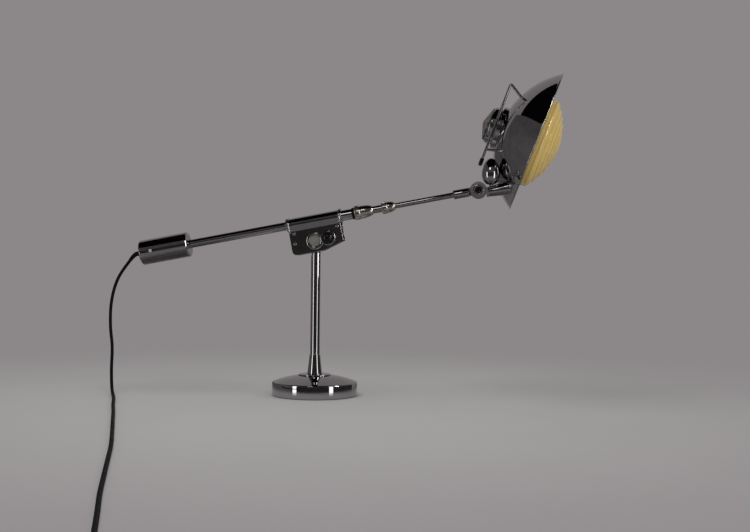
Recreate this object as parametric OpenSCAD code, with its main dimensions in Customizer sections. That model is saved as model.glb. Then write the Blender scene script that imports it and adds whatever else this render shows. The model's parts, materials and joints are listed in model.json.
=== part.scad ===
// Counterbalanced lamp: a weighted round base, a stem, a tilting arm that
// telescopes twice, and a bowl-shaped head with a ribbed glass lens.
// Millimetres, +Z up. Origin: middle of the base's underside. The arm points to +X.

/* [Base] */
// Diameter of the base
base_d = 160; // [140:1:200]
// Height of the base's straight wall
base_wall_h = 25; // [20:1:35]
// Rise of the domed top above the wall
base_rise = 13; // [9:1:20]
// Sheet thickness of the spun base cover
shell_t = 1.5; // [1:0.1:2]
// Rounding of the cover's upper edge
base_edge = 2; // [1:0.5:4]
// Crown of the domed top over a straight cone
base_crown = 1; // [0.5:0.1:2]
// Thickness of the felt pad under the base
pad_t = 2; // [1:0.5:3]
// Diameter of the disc round the foot of the stem
flange_d = 61; // [50:1:75]
// Thickness of that disc
flange_t = 2.5; // [2:0.5:4]

/* [Stem] */
// Outer diameter of the stem
stem_d = 18; // [16:0.5:20]
// Wall of the stem
stem_wall = 2; // [1.5:0.1:3]
// Height of the tilt pivot above the floor
pivot_h = 290; // [240:1:340]
// Height of the pivot above the stem's upper end
turret_h = 22; // [20:0.5:28]
// Foot diameter of the conical ferrule
ferrule_foot_d = 27.6; // [25:0.2:32]
// Top diameter of the conical ferrule
ferrule_top_d = 20.4; // [20.2:0.1:24]
// Height of the conical ferrule
ferrule_h = 36; // [25:1:50]
// Height of the nut that clamps the stem
stem_nut_h = 9; // [7:0.5:12]
// Length of the swivel bush in the stem
bush_len = 30; // [20:1:50]
// Diameter of the swivel spigot in the bush
spigot_d = 11; // [9.5:0.1:11.5]

/* [Bracket] */
// Reach of the bracket behind the pivot
saddle_rear = 46; // [44:1:60]
// Reach of the bracket in front of the pivot
saddle_front = 53; // [52:1:65]
// Sheet thickness of the bracket
cheek_t = 3; // [2:0.1:4]
// Depth of the cheeks below the pivot
cheek_drop = 20.5; // [17:0.5:26]
// Depth of the cheeks' front corner below the pivot
toe_drop = 9; // [6:0.5:12]
// Where the cheeks' lower edge starts to rise
toe_start = 11; // [4:1:20]
// Rounding of the cheeks' rear lower corner
cheek_corner = 9; // [4:1:12]
// Width of the raised collars at the bracket's ends
collar_w = 3.6; // [2:0.2:6]
// Diameter of the front collar
collar_d = 28; // [26.5:0.5:32]
// Diameter of the rivets
rivet_d = 5; // [4:0.5:6]
// Diameter of the pivot bolt
pivot_bolt_d = 8; // [6:0.5:9]
// Diameter of the pivot cap
pivot_cap_d = 32.5; // [28:0.5:36]
// Diameter of the recess in the pivot cap
pivot_recess_d = 22; // [18:0.5:25]
// Diameter of the turret's eye
eye_d = 26; // [22:0.5:28]
// Thickness of the friction washers
washer_t = 2; // [1:0.1:2.5]

/* [Tilt lock] */
// Place of the lock stud in front of the pivot
lock_x = 26; // [22:0.5:26]
// Place of the lock stud above the pivot
lock_z = 1; // [0:0.5:2]
// Diameter of the lock stud
lock_stud_d = 6; // [5:0.5:7]
// Diameter of the black lock knob
lock_knob_d = 25; // [20:0.5:27]
// Height of the lock knob
lock_knob_h = 18; // [14:0.5:24]
// Diameter of the plated washer under the knob
lock_washer_d = 28; // [26:0.5:30]
// How far the head tips down from rest, in degrees
tilt_down = 25; // [10:1:25]
// How far the head tips up from rest, in degrees
tilt_up = 30; // [10:1:30]

/* [Arm] */
// Slope of the arm at rest, in degrees
arm_tilt = 10.8; // [5:0.2:15]
// Height of the arm's axis above the pivot
arm_rise = 38; // [36:0.5:46]
// Outer diameter of the arm tube
arm_tube_d = 16; // [15:0.5:17]
// Outer diameter of the sleeve in the bracket
sleeve_d = 20; // [19:0.5:22]
// Front end of the sleeve from the pivot
sleeve_front = 77; // [70:1:90]
// Rear end of the counterweight from the pivot
weight_reach = 336; // [300:1:380]
// Diameter of the counterweight
weight_d = 47; // [40:0.5:60]
// Length of the counterweight
weight_len = 94.5; // [70:0.5:120]
// Thickness of the counterweight's closed end
weight_end = 11; // [9:0.5:16]
// Place of the grub screw from the weight's rear end
grub_at = 24; // [17:0.5:40]
// Diameter of the grub screw
grub_d = 6; // [4:0.5:8]

/* [Telescope] */
// Outer diameter of the middle tube
mid_d = 14; // [13:0.1:14.4]
// Rear end of the middle tube from the pivot
mid_rear = -110; // [-140:1:-90]
// Outer diameter of the front rod
rod_d = 10.4; // [9:0.1:11]
// Wall of the front rod
rod_wall = 1.7; // [1:0.1:2.5]
// Rear end of the front rod from the pivot
rod_rear = 20; // [0:1:40]
// Rear face of the first clamp nut from the pivot
nut1_at = 81; // [81:0.5:90]
// Diameter of the first clamp nut
nut1_d = 26; // [25:0.2:30]
// Length of its gripping ring
nut1_ring = 11; // [10:0.5:14]
// Length of its taper
nut1_taper = 24; // [20:0.5:30]
// Rear face of the second clamp nut from the pivot
nut2_at = 133; // [130:0.5:140]
// Diameter of the second clamp nut
nut2_d = 22; // [20:0.2:25]
// Length of its gripping ring
nut2_ring = 11; // [10:0.5:14]
// Length of its taper
nut2_taper = 14.5; // [13:0.5:20]

/* [Knuckle] */
// Rear face of the rod's socket from the pivot
socket_at = 269; // [262:0.5:280]
// Length of the socket
socket_len = 29; // [27:0.5:30]
// Diameter of the socket
socket_d = 17; // [15:0.5:18]
// Place of the knuckle from the pivot
knuckle_at = 316; // [315:0.5:330]
// Diameter of the knuckle's discs
knuckle_d = 31; // [29:0.5:33]
// Width of the knuckle over both discs
knuckle_w = 22; // [20:0.5:28]
// Thickness of the tongue between the discs
tongue_t = 10; // [8:0.5:12]
// Diameter of the knuckle bolt
knuckle_bolt_d = 8; // [6:0.5:9]
// Diameter of its sunk head
knuckle_head_d = 13; // [11:0.5:15]
// Drop of the neck's axis below the knuckle
neck_drop = 6; // [3:0.5:6]
// Diameter of the neck at the knuckle
neck_d = 18.4; // [17:0.2:20]
// Diameter of the neck where it reaches the bowl
neck_foot_d = 26.5; // [22:0.5:30]
// Diameter of the swivel spigot in the neck
neck_spigot_d = 12; // [10:0.5:13]
// Place of the egg-shaped knob along the neck
egg_at = 22; // [21:0.5:26]
// Diameter of the egg-shaped knob
egg_d = 31.5; // [26:0.5:32]
// Height of the egg-shaped knob
egg_h = 50; // [44:0.5:54]

/* [Head] */
// Diameter of the bowl's rim
bowl_d = 272; // [266:1:280]
// Depth of the bowl
bowl_depth = 75; // [72:0.5:78]
// Sheet thickness of the bowl
bowl_t = 1.2; // [1:0.1:2]
// Thickness of the rolled bead along the rim
bead_d = 3; // [2.6:0.2:5]
// Slope of the head's axis below the horizontal, in degrees
aim = 21; // [18:0.5:24]
// Rim's lowest point in front of the knuckle
head_dx = 58.26; // [56:0.02:63]
// Rim's lowest point behind the arm's plane
head_dy = 60; // [58:0.5:64]
// Rim's lowest point above the knuckle, below it where negative
head_dz = -30.97; // [-33:0.01:-28]
// Diameter of the ring behind the bowl
ring_d = 82; // [76:0.5:90]
// Diameter of the drum behind the bowl
drum_d = 71; // [68:0.5:74]
// Length of the drum
drum_len = 15.5; // [14:0.5:22]
// Diameter of the switch knob
knob_d = 63; // [50:0.5:66]
// Height of the switch knob
knob_h = 12.5; // [10:0.5:16]
// Height of the switch knob's rim
knob_rim_h = 2.5; // [2:0.5:5]
// Diameter of the lens
lens_d = 172; // [160:1:184]
// Height of the lens wall in front of the rim
lens_wall_h = 12; // [8:0.5:20]
// Height of the lens dome over its wall
lens_dome_h = 32.5; // [26:0.5:40]
// Thickness of the lens glass
lens_t = 4; // [3:0.1:5]
// Number of ribs round the lens
lens_ribs = 11; // [6:1:16]
// Diameter of the bulb
bulb_d = 56; // [45:1:60]
// Wire diameter of the handle
wire_d = 5; // [4:0.2:6]
// Place of the handle to the side of the head's axis
handle_side = 45; // [44:0.5:50]
// Height of the grip behind the rim's plane
grip_back = 83; // [81:0.5:90]
// Length of the grip above the head's axis
grip_up = 79; // [74:0.5:85]
// Length of the grip below the head's axis
grip_down = 76; // [74:0.5:85]

/* [Cord] */
// Diameter of the cord
cord_d = 6; // [5:0.1:6.4]
// Mean width of the coil
coil_w = 68; // [64:0.5:72]

/* [Hidden] */
$fn = 96;

// Gap of pieces that are seated in each other
fit = 0.05;
// Running clearance of pins and spigots, and sliding clearance of the tubes
run = 0.05;
slide = 0.1;
// Gap between faces that turn past each other
face = 0.2;
// Overlap of cutting tools past a face
cut = 1;
// Small chamfer of turned edges
edge = 1;

// Base and stem
base_r = base_d/2;
deck_z = base_wall_h + base_rise;
edge_turn = 75;
pocket_d = 36;
slug_gap = 3;
slug_edge = 4;
foot_gap = 2;
stem_foot = pad_t + foot_gap;
pocket_z = stem_foot + stem_nut_h;
flange_z = deck_z + flange_t;
stem_bore = stem_d - 2*stem_wall;
stem_top = pivot_h - turret_h;
bush_lip = 1.5;
screw_gap = 0.4;

// Bracket, seen across the arm
cheek_in = sleeve_d/2 + fit;
cheek_out = cheek_in + cheek_t;
eye_half = cheek_in - fit - washer_t - face;
washer_d = eye_d - 2;
rivets = [[-37, 20], [-38, 1], [46, 20]];
rivet_head_d = rivet_d + 2.4;
rivet_head_h = 1.5;
spacer_d = rivet_d + 4;
pivot_floor = 2.6;
pivot_cap_h = 4;
pivot_nut_d = 20;
pivot_nut_h = 6;

// Tilt lock: the stud runs in an arc slot of the turret's fan
lock_r = norm([lock_x, lock_z]);
lock_angle = atan2(lock_z, lock_x) + arm_tilt;
slot_gap = 0.3;
slot_r = lock_stud_d/2 + slot_gap;
fan_rim = 2;
fan_half = 3;
slot_from = lock_angle - tilt_down - 1;
slot_span = tilt_down + tilt_up + 2;
shoe_d = lock_stud_d + 6;
lock_lift = pivot_cap_h + fit + 2*face;
lock_boss_d = 2*lock_r - pivot_cap_d - 2;
lock_washer_h = 2;
lock_foot = cheek_out + lock_lift + lock_washer_h;
knob_skirt = lock_knob_h/3;
knob_bore_h = 13;
lock_head_d = 11;
lock_head_h = 4;

// Arm and telescope, as distances from the pivot along the arm
arm_bore = mid_d + 2*slide;
tube_front = nut1_at + nut1_ring - 2;
weight_front = -weight_reach + weight_len;
tube_rear = -weight_reach + weight_end;
gland_lip = 5;
gland_d = cord_d + 3;
mid_bore = rod_d + 2*slide;
mid_front = nut2_at + nut2_ring - 1;
nut1_end_d = mid_d + 1;
nut2_end_d = rod_d + 1.1;
bell_turn = 75;
jaw_slit = 1;
jaw1_t = 1.1;
jaw1_len = 15;
jaw2_t = 0.9;
jaw2_len = 8;
collet1_d = arm_tube_d + 6;
collet2_d = mid_d + 3;
rod_bore = rod_d - 2*rod_wall;
rod_depth = 16;

// Knuckle, as distances from its bolt
tongue_d = knuckle_d - 5;
tongue_half = tongue_t/2;
ear_in = tongue_half + face;
ear_out = knuckle_w/2;
bridge_from = tongue_d/2 + 0.5;
bridge_to = bridge_from + 4;
neck_from = bridge_to + face;
neck_spigot_to = neck_from + 18;
neck_length = 62;
neck_flare = 4;
head_sink = 4;
cap_nut_h = 6;
egg_stud_d = 6;
egg_swell = 0.16;
egg_foot = neck_spigot_d/2/cos(arm_tilt) + egg_stud_d/2*tan(arm_tilt) + 2*face;

// Head: the bowl is a slice of a ball whose centre lies in front of the rim
ball_r = (pow(bowl_d/2, 2) + pow(bowl_depth, 2))/(2*bowl_depth);
ball_front = ball_r - bowl_depth;
up_dir = [-sin(arm_tilt), 0, cos(arm_tilt)];
arm_dir = [cos(arm_tilt), 0, sin(arm_tilt)];
pivot = [0, 0, pivot_h];
knuckle = pivot + knuckle_at*arm_dir + arm_rise*up_dir;
aim_dir = [cos(aim), 0, -sin(aim)];
rim_up = [sin(aim), 0, cos(aim)];
head = knuckle + [head_dx, head_dy, head_dz] + bowl_d/2*rim_up;
ball = head + ball_front*aim_dir;
neck_line = knuckle - neck_drop*up_dir;
neck_b = (neck_line - ball)*arm_dir;
neck_c = (neck_line - ball)*(neck_line - ball) - ball_r*ball_r;
neck_hit = neck_line + (-neck_b - sqrt(neck_b*neck_b - neck_c))*arm_dir;
neck_normal = (neck_hit - ball)/ball_r;
stud_d = 8;
stud_out = 7;
stud_in = 11;
stud_nut_h = 6.5;
nut_room = 0.4;
holder_hole_d = 44;
ring_front = 58;
ring_bore = 60;
ring_back = bowl_depth + 4;
drum_wall = 1.5;
drum_back = ring_back + drum_len;
drum_floor = 2;
shaft_d = 8;
lobes = 12;
lobe_d = 12;
knob_tip_d = 10;
holder_d = 36;
holder_front = 38;
socket_bore = 27.2;
socket_back = 66;
holder_disc_t = 2.5;
switch_d = 28;
switch_h = drum_len - holder_disc_t - drum_floor - 2;
cap_d = 26.4;
cap_front = 41;
cap_back = socket_back - fit;
bulb_mid = 2;
bulb_neck_d = 24;
glass_steps = 16;
lens_back = 8;
lens_arc_r = (pow(lens_d/2, 2) + pow(lens_dome_h, 2))/(2*lens_dome_h);
lens_arc_mid = -lens_wall_h - lens_dome_h + lens_arc_r;
lens_arc_max = asin(lens_d/2/lens_arc_r);
rib_steps = 4;
rib_h = 1.1;
seat_t = 3;
seat_lip = 6;
post_d = 6;
post_angles = [60, 180, 300];
upper_foot = [56, 45];
lower_foot = [-44, 54];
grip_top = [grip_up, grip_back];
grip_end = [-grip_down, grip_back - 2];
lower_joint = [-51, grip_back - 1.5];
tip_d = 7.6;
tip_len = 11;
tip_cover = 7;
tip_end = grip_end + [tip_cover - tip_len, 0];

// Cord route: out of the weight, down to the floor, along it, then a flat coil
cord_r = cord_d/2;
floor_gap = 0.2;
cord_out = pivot - (weight_reach + gland_lip + face)*arm_dir + arm_rise*up_dir;
drop = [[-364, 0, 245], [-384, -2, 213], [-394, -6, 172], [-394, -11, 126],
    [-387, -20, 86], [-383, -34, 43], [-372, -62, 14]];
run_out = [[-348, -120], [-316, -212], [-282, -307], [-249, -402], [-216, -497],
    [-175, -617], [-138, -734], [-110, -823], [-83, -908], [-57, -985],
    [-33, -1057], [-18, -1104]];
coil_at = [20, -1140];
tie_t = 1;
tie_w = 8;
coil_step = cord_d + 1.6;
coil_turns = 3;
layer_z = cord_d + 0.5;
coil_low = cord_r + tie_t + floor_gap;
climb_turn = 0.5;
spiral_turns = (coil_turns - climb_turn)/2;
coil_far = coil_w/2 + coil_step*spiral_turns/2;
tie_half = coil_step*spiral_turns;
coil_start = [coil_at[0] - coil_far, coil_at[1] + cord_d, coil_low];
plug_neck = 10;
coil_tail = coil_far + cord_d - plug_neck;
lead_knots = concat([cord_out, cord_out - cord_d*arm_dir], drop,
    [for (p = run_out) [p[0], p[1], cord_r + floor_gap]],
    [coil_start + [0, cord_d, 0], coil_start]);
lead_path = smooth_path(lead_knots, 3);
coil_path = concat([coil_start],
    [for (i = [0:24*coil_turns]) coil_point(i/24)],
    [coil_point(coil_turns) - [0, coil_tail, 0]]);
coil_end = coil_path[len(coil_path) - 1];
coil_gap = least_gap(coil_path, 12) - cord_d;
echo(coil_gap = coil_gap);
plug_len = 38;
plug_w = 28;
plug_t = 2*coil_end[2] - 2*floor_gap;
pin_d = 4;
pin_len = 19;
pin_apart = 19;

// A point of the coil after a number of turns: in, up half a turn, and out again
function coil_point(turn) =
    let (a = 180 + 360*turn,
        lift = min(max((turn - spiral_turns)/climb_turn, 0), 1),
        r = coil_far - coil_step*min(turn, spiral_turns)
            + coil_step*max(turn - spiral_turns - climb_turn, 0))
    [coil_at[0] + r*cos(a), coil_at[1] + r*sin(a), coil_low + layer_z*lift];

// Least distance of points that lie at least a number of steps apart on a path
function least_gap(p, apart) =
    min([for (i = [0:len(p) - 1 - apart], j = [i + apart:len(p) - 1]) norm(p[i] - p[j])]);

// Points of an arc round a centre
function arc(mid, r, from, to, steps) =
    [for (i = [0:steps]) let (a = from + (to - from)*i/steps)
        [mid[0] + r*cos(a), mid[1] + r*sin(a)]];

// A shallow bow from one point to another, raised by its crown
function bow(a, b, crown, steps) =
    [for (i = [0:steps]) let (t = i/steps) a + (b - a)*t + [0, 4*crown*t*(1 - t)]];

// A bell-shaped curve from one point of a profile to another
function bell(a, b, steps) =
    [for (i = [0:steps]) let (t = bell_turn*i/steps)
        [b[0] + (a[0] - b[0])*(cos(t) - cos(bell_turn))/(1 - cos(bell_turn)),
            a[1] + (b[1] - a[1])*sin(t)/sin(bell_turn)]];

// A smooth path through all knots, with its lowest points kept off the floor
function smooth_path(k, steps) = concat([k[0]],
    [for (i = [0:len(k) - 2], s = [1:steps]) raise(spline(k, i, s/steps))]);
function raise(p) = [p[0], p[1], max(p[2], cord_r + floor_gap)];
function spline(k, i, t) =
    let (h = norm(k[i + 1] - k[i]), a = slope(k, i)*h, b = slope(k, i + 1)*h,
        t2 = t*t, t3 = t2*t)
    k[i]*(2*t3 - 3*t2 + 1) + a*(t3 - 2*t2 + t) + k[i + 1]*(3*t2 - 2*t3) + b*(t3 - t2);

// Unit direction of a path at a knot
function slope(k, i) =
    let (n = len(k) - 1,
        d = i == 0 ? k[1] - k[0] : i == n ? k[n] - k[n - 1]
            : unit(k[i] - k[i - 1]) + unit(k[i + 1] - k[i]))
    unit(d);
function unit(v) = v/norm(v);
function square_to(v, t) = unit(v - t*(v*t));

// A round cord along a path, one ring of sides at each point
module cord(p, d, sides) {
    n = len(p);
    t = [for (i = [0:n - 1]) slope(p, i)];
    first = square_to(abs(t[0][2]) < 0.9 ? [0, 0, 1] : [1, 0, 0], t[0]);
    up = [for (i = 0, v = first; i < n; i = i + 1, v = i < n ? square_to(v, t[i]) : v) v];
    rings = [for (i = [0:n - 1], s = [0:sides - 1])
        let (a = 360*s/sides)
        p[i] + d/2*(cos(a)*up[i] + sin(a)*cross(t[i], up[i]))];
    walls = [for (i = [0:n - 2], s = [0:sides - 1])
        let (q = i*sides, e = (s + 1) % sides)
        each [[q + s, q + sides + s, q + e], [q + e, q + sides + s, q + sides + e]]];
    ends = [for (s = [1:sides - 2])
        each [[0, s, s + 1],
            [(n - 1)*sides, (n - 1)*sides + s + 1, (n - 1)*sides + s]]];
    polyhedron(rings, concat(walls, ends));
}

// Frames: along the arm from its pivot, along its axis, at its knuckle, at the head
module arm_frame() translate(pivot) rotate([0, -arm_tilt, 0]) children();
module on_arm(u) arm_frame() translate([u, 0, arm_rise]) rotate([0, 90, 0]) children();
module at_knuckle() arm_frame() translate([knuckle_at, 0, arm_rise]) children();
module on_neck(u) at_knuckle() translate([u, 0, -neck_drop]) rotate([0, 90, 0]) children();
module at_egg() at_knuckle() translate([egg_at, 0, -neck_drop])
    rotate([0, arm_tilt, 0]) children();
module head_frame() translate(head) rotate([0, aim - 90, 0]) children();
module at_foot() translate(neck_hit)
    rotate([0, acos(neck_normal[2]), atan2(neck_normal[1], neck_normal[0])]) children();
module bowl_ball(r) translate(ball) sphere(r, $fn = 200);

// A turned piece, a plain ring, a pin across the arm, and a rod between two points
module turned(profile) rotate_extrude() polygon(profile);
module ring(d, bore, h) difference() {
    cylinder(d = d, h = h);
    translate([0, 0, -cut]) cylinder(d = bore, h = h + 2*cut);
}
module pin_y(d, from, to) translate([0, from, 0]) rotate([-90, 0, 0])
    cylinder(d = d, h = to - from);
module facing(y) translate([0, y, 0]) rotate([90, 0, 0]) children();
module rod(a, b, d) translate(a)
    rotate([0, acos((b - a)[2]/norm(b - a)), atan2((b - a)[1], (b - a)[0])])
        cylinder(d = d, h = norm(b - a), $fn = 48);
module slits(d, h, count) for (i = [0:count - 1]) rotate(i*180/count)
    translate([-d, -jaw_slit/2, 0]) cube([2*d, jaw_slit, h]);

// Felt pad that the lamp stands on
module base_pad() color("DarkSlateGray") cylinder(d = base_d - 4*shell_t, h = pad_t);

// Cast slug with a pocket for the stem's nut and a boss under the cover
module base_weight() color("DimGray") turned([
    [stem_d/2 + fit, pocket_z], [pocket_d/2, pocket_z], [pocket_d/2, pad_t],
    [base_r - 2*shell_t, pad_t], [base_r - 2*shell_t, base_wall_h - base_edge - slug_gap],
    [flange_d/2, deck_z - shell_t - slug_gap], [flange_d/2 - slug_edge, deck_z - shell_t],
    [stem_d/2 + fit, deck_z - shell_t]]);

// Spun cover with a straight wall and a low dome
module base_shell() color("Silver") turned(concat(
    [[base_r, shell_t/2]],
    arc([base_r - base_edge, base_wall_h - base_edge], base_edge, 0, edge_turn, 5),
    bow([base_r - base_edge, base_wall_h], [flange_d/2, deck_z], base_crown, 10),
    [[stem_d/2 + fit, deck_z], [stem_d/2 + fit, deck_z - shell_t]],
    bow([flange_d/2, deck_z - shell_t],
        [base_r - base_edge - shell_t, base_wall_h - shell_t], base_crown, 10),
    [[base_r - shell_t, base_wall_h - base_edge - shell_t], [base_r - shell_t, shell_t/2]]));

// Disc with a rounded shoulder round the foot of the stem
module base_flange() color("Silver") translate([0, 0, deck_z]) turned(concat(
    [[stem_d/2 + fit, 0], [flange_d/2 - edge/2, 0], [flange_d/2, edge/2]],
    [[flange_d/2, flange_t - edge], [flange_d/2 - edge, flange_t - edge/3],
        [flange_d/2 - 3*edge, flange_t], [stem_d/2 + fit, flange_t]]));

// Conical ferrule over the foot of the stem
module stem_ferrule() color("Silver") translate([0, 0, flange_z]) turned([
    [stem_d/2 + fit, 0], [ferrule_foot_d/2, 0], [ferrule_foot_d/2, 2*edge],
    [ferrule_top_d/2, ferrule_h - edge/2], [ferrule_top_d/2 - edge/4, ferrule_h],
    [stem_d/2 + fit, ferrule_h]]);

// Stem, clamped to the slug from below
module stem_tube() color("Silver") translate([0, 0, stem_foot])
    ring(stem_d, stem_bore, stem_top - stem_foot);

// Hexagon nut in the slug's pocket
module stem_nut() color("DarkGray") translate([0, 0, stem_foot]) difference() {
    cylinder(d = pocket_d - 6, h = stem_nut_h, $fn = 6);
    translate([0, 0, -cut]) cylinder(d = stem_d + 2*fit, h = stem_nut_h + 2*cut);
}

// Flanged bush that the turret swivels in
module swivel_bush() color("Peru") translate([0, 0, stem_top]) difference() {
    union() {
        cylinder(d = stem_d, h = bush_lip);
        translate([0, 0, -bush_len]) cylinder(d = stem_bore - 2*fit, h = bush_len + bush_lip);
    }
    translate([0, 0, -bush_len - cut])
        cylinder(d = spigot_d + 2*run, h = bush_len + bush_lip + 2*cut);
}

// Turret: spigot, flattened eye for the pivot, and a fan with the lock's arc slot
module turret_head() color("Silver") difference() {
    union() {
        translate([0, 0, stem_top - bush_len - screw_gap])
            cylinder(d = spigot_d, h = bush_len + screw_gap + bush_lip + 2*edge);
        translate([0, 0, stem_top + bush_lip + face])
            cylinder(d = stem_d, h = turret_h - bush_lip - face - eye_d/2 - edge);
        translate([-stem_d/4, edge - eye_half, pivot_h - eye_d/2 - 2*edge])
            cube([stem_d/2, 2*(eye_half - edge), eye_d/4 + 2*edge]);
        translate(pivot) pin_y(eye_d, -eye_half, eye_half);
        translate(pivot) facing(fan_half) fan(slot_r + fan_rim, 2*fan_half, eye_d/4);
    }
    translate(pivot) pin_y(pivot_bolt_d + 2*run, -stem_d, stem_d);
    translate(pivot) facing(stem_d) fan(slot_r, 2*stem_d, lock_r - slot_r);
}

// Arc band round the pivot with round ends, from an inner radius outwards
module fan(half, h, inner) rotate(slot_from) {
    rotate_extrude(angle = slot_span) translate([inner, 0])
        square([lock_r + half - inner, h]);
    for (a = [0, slot_span]) rotate(a) translate([lock_r, 0, fit])
        cylinder(r = half - slot_gap/2, h = h - 2*fit);
}

// Screw and washer that keep the spigot in its bush
module swivel_screw() color("DarkGray")
    translate([0, 0, stem_top - bush_len - screw_gap]) mirror([0, 0, 1]) {
        cylinder(d = stem_bore - 1, h = 1.6);
        cylinder(d = spigot_d - 2, h = 5);
    }

// Folded bracket: a strap over the sleeve and two flat cheeks round the turret
module arm_saddle() color("Silver") arm_frame() difference() {
    intersection() {
        translate([-saddle_rear, 0, 0]) rotate([90, 0, 90])
            linear_extrude(saddle_rear + saddle_front) fold();
        facing(2*cheek_out) linear_extrude(4*cheek_out) polygon(concat(
            [[-saddle_rear, arm_rise + 2*cheek_out]],
            arc([cheek_corner - saddle_rear, cheek_corner - cheek_drop], cheek_corner,
                180, 270, 8),
            [[toe_start, -cheek_drop], [saddle_front - 2, -toe_drop],
                [saddle_front, arm_rise - cheek_out],
                [saddle_front, arm_rise + 2*cheek_out]]));
    }
    pin_y(pivot_bolt_d + 2*fit, -2*cheek_out, 2*cheek_out);
    translate([lock_x, 0, lock_z]) pin_y(lock_stud_d + 2*fit, -2*cheek_out, 2*cheek_out);
    at_rivets() pin_y(rivet_d + 2*fit, -2*cheek_out, 2*cheek_out);
}

// Cross-section of the fold
module fold() difference() {
    fold_half(cheek_out, cheek_drop);
    fold_half(cheek_in, cheek_drop + cut);
}
module fold_half(r, drop) {
    translate([0, arm_rise]) circle(r);
    translate([-r, -drop]) square([2*r, arm_rise + drop]);
}
module at_rivets() for (p = rivets) translate([p[0], 0, p[1]]) children();

// Sleeve that the bracket grips
module sleeve_tube() color("Silver") on_arm(-saddle_rear - collar_w)
    ring(sleeve_d, arm_tube_d + 2*fit, sleeve_front + saddle_rear + collar_w);

// Raised collars on the sleeve at both ends of the bracket
module saddle_collars() color("Gainsboro") {
    on_arm(saddle_front + fit) collar(collar_d);
    on_arm(-saddle_rear - collar_w) collar(2*cheek_out);
}
module collar(d) turned([[sleeve_d/2 + fit, 0], [d/2 - edge, 0], [d/2, edge],
    [d/2, collar_w - edge - fit], [d/2 - edge, collar_w - fit],
    [sleeve_d/2 + fit, collar_w - fit]]);

// Rivets with spacers between the cheeks
module bracket_rivets() color("Silver") arm_frame() at_rivets() {
    pin_y(rivet_d, -cheek_out - rivet_head_h, cheek_out + rivet_head_h);
    pin_y(spacer_d, fit - cheek_in, cheek_in - fit);
    for (m = [0, 1]) mirror([0, m, 0]) facing(-cheek_out) turned([[0, fit],
        [rivet_head_d/2, fit], [rivet_head_d/2 - edge/2, rivet_head_h - edge/4],
        [rivet_d/3, rivet_head_h], [0, rivet_head_h]]);
}

// Bolt that the arm tilts on
module pivot_bolt() color("Gray") arm_frame()
    pin_y(pivot_bolt_d, -cheek_out - pivot_floor, cheek_out + pivot_nut_h);

// Dished cap on the pivot's near side
module pivot_cap() color("Silver") arm_frame() facing(-cheek_out - fit) turned([
    [pivot_bolt_d/2 + fit, 0], [pivot_cap_d/2, 0], [pivot_cap_d/2, pivot_floor],
    [pivot_cap_d/2 - edge, pivot_cap_h], [pivot_recess_d/2 + edge, pivot_cap_h],
    [pivot_recess_d/2, pivot_floor], [pivot_bolt_d/2 + fit, pivot_floor]]);

// Round nut on the pivot's far side
module pivot_nut() color("Silver") arm_frame() mirror([0, 1, 0])
    facing(-cheek_out - fit) turned([[pivot_bolt_d/2 + fit, 0], [pivot_nut_d/2, 0],
        [pivot_nut_d/2, pivot_nut_h - edge], [pivot_nut_d/2 - edge, pivot_nut_h],
        [pivot_bolt_d/2 + fit, pivot_nut_h]]);

// Friction washers between the turret's eye and the cheeks
module friction_washers() color("SaddleBrown") arm_frame() for (m = [0, 1])
    mirror([0, m, 0]) facing(fit - cheek_in + washer_t)
        ring(washer_d, pivot_bolt_d + 2*fit, washer_t);

// Stud of the tilt lock, through both cheeks and the fan's slot
module lock_stud() color("Gray") at_lock() {
    pin_y(lock_stud_d, -lock_foot - knob_bore_h + face, cheek_out + lock_head_h);
    pin_y(lock_head_d, cheek_out + fit, cheek_out + lock_head_h);
}
module at_lock() arm_frame() translate([lock_x, 0, lock_z]) children();

// Shoes that the lock presses on the fan
module lock_shoes() color("Peru") at_lock() for (m = [0, 1]) mirror([0, m, 0])
    facing(-fan_half - face)
        ring(shoe_d, lock_stud_d + 2*fit, cheek_in - fan_half - face - fit);

// Plated flange under the lock knob, on a boss that lifts it over the pivot cap
module lock_washer() color("Silver") at_lock() facing(-cheek_out - fit) turned([
    [lock_stud_d/2 + fit, 0], [lock_boss_d/2, 0], [lock_boss_d/2, lock_lift],
    [lock_washer_d/2, lock_lift], [lock_washer_d/2, lock_lift + lock_washer_h/2],
    [lock_washer_d/2 - edge, lock_lift + lock_washer_h - fit],
    [lock_stud_d/2 + fit, lock_lift + lock_washer_h - fit]]);

// Black knob that tightens the tilt lock
module lock_knob() color("Black") at_lock() facing(-lock_foot - face) turned(concat(
    [[lock_stud_d/2 + run, 0], [lock_knob_d/2 - 2*edge, 0], [lock_knob_d/2, 2*edge]],
    [for (a = [0:7.5:90])
        [lock_knob_d/2*cos(a), knob_skirt + (lock_knob_h - knob_skirt)*sin(a)]],
    [[0, knob_bore_h], [lock_stud_d/2 + run, knob_bore_h]]));

// Arm tube from the counterweight to the first clamp nut
module arm_tube() color("Silver") on_arm(tube_rear)
    ring(arm_tube_d, arm_bore, tube_front - tube_rear);

// Counterweight with a socket for the tube and a hole for the cord's gland
module counterweight() color("Silver") on_arm(-weight_reach) difference() {
    turned([[gland_d/2 + fit, 0], [weight_d/2 - 2*edge, 0], [weight_d/2, 2*edge],
        [weight_d/2, weight_len - 2*edge], [weight_d/2 - 2*edge, weight_len],
        [arm_tube_d/2 + fit, weight_len], [arm_tube_d/2 + fit, weight_end - fit],
        [gland_d/2 + fit, weight_end - fit]]);
    translate([0, 0, grub_at]) pin_y(grub_d + 2*fit, -weight_d, 0);
}

// Slotted grub screw that holds the counterweight on the tube
module weight_screw() color("Gray") on_arm(grub_at - weight_reach) difference() {
    pin_y(grub_d, edge - weight_d/2, -arm_tube_d/2 - fit);
    translate([-edge/2, -weight_d/2, -grub_d]) cube([edge, 2.5*edge, 2*grub_d]);
}

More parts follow.
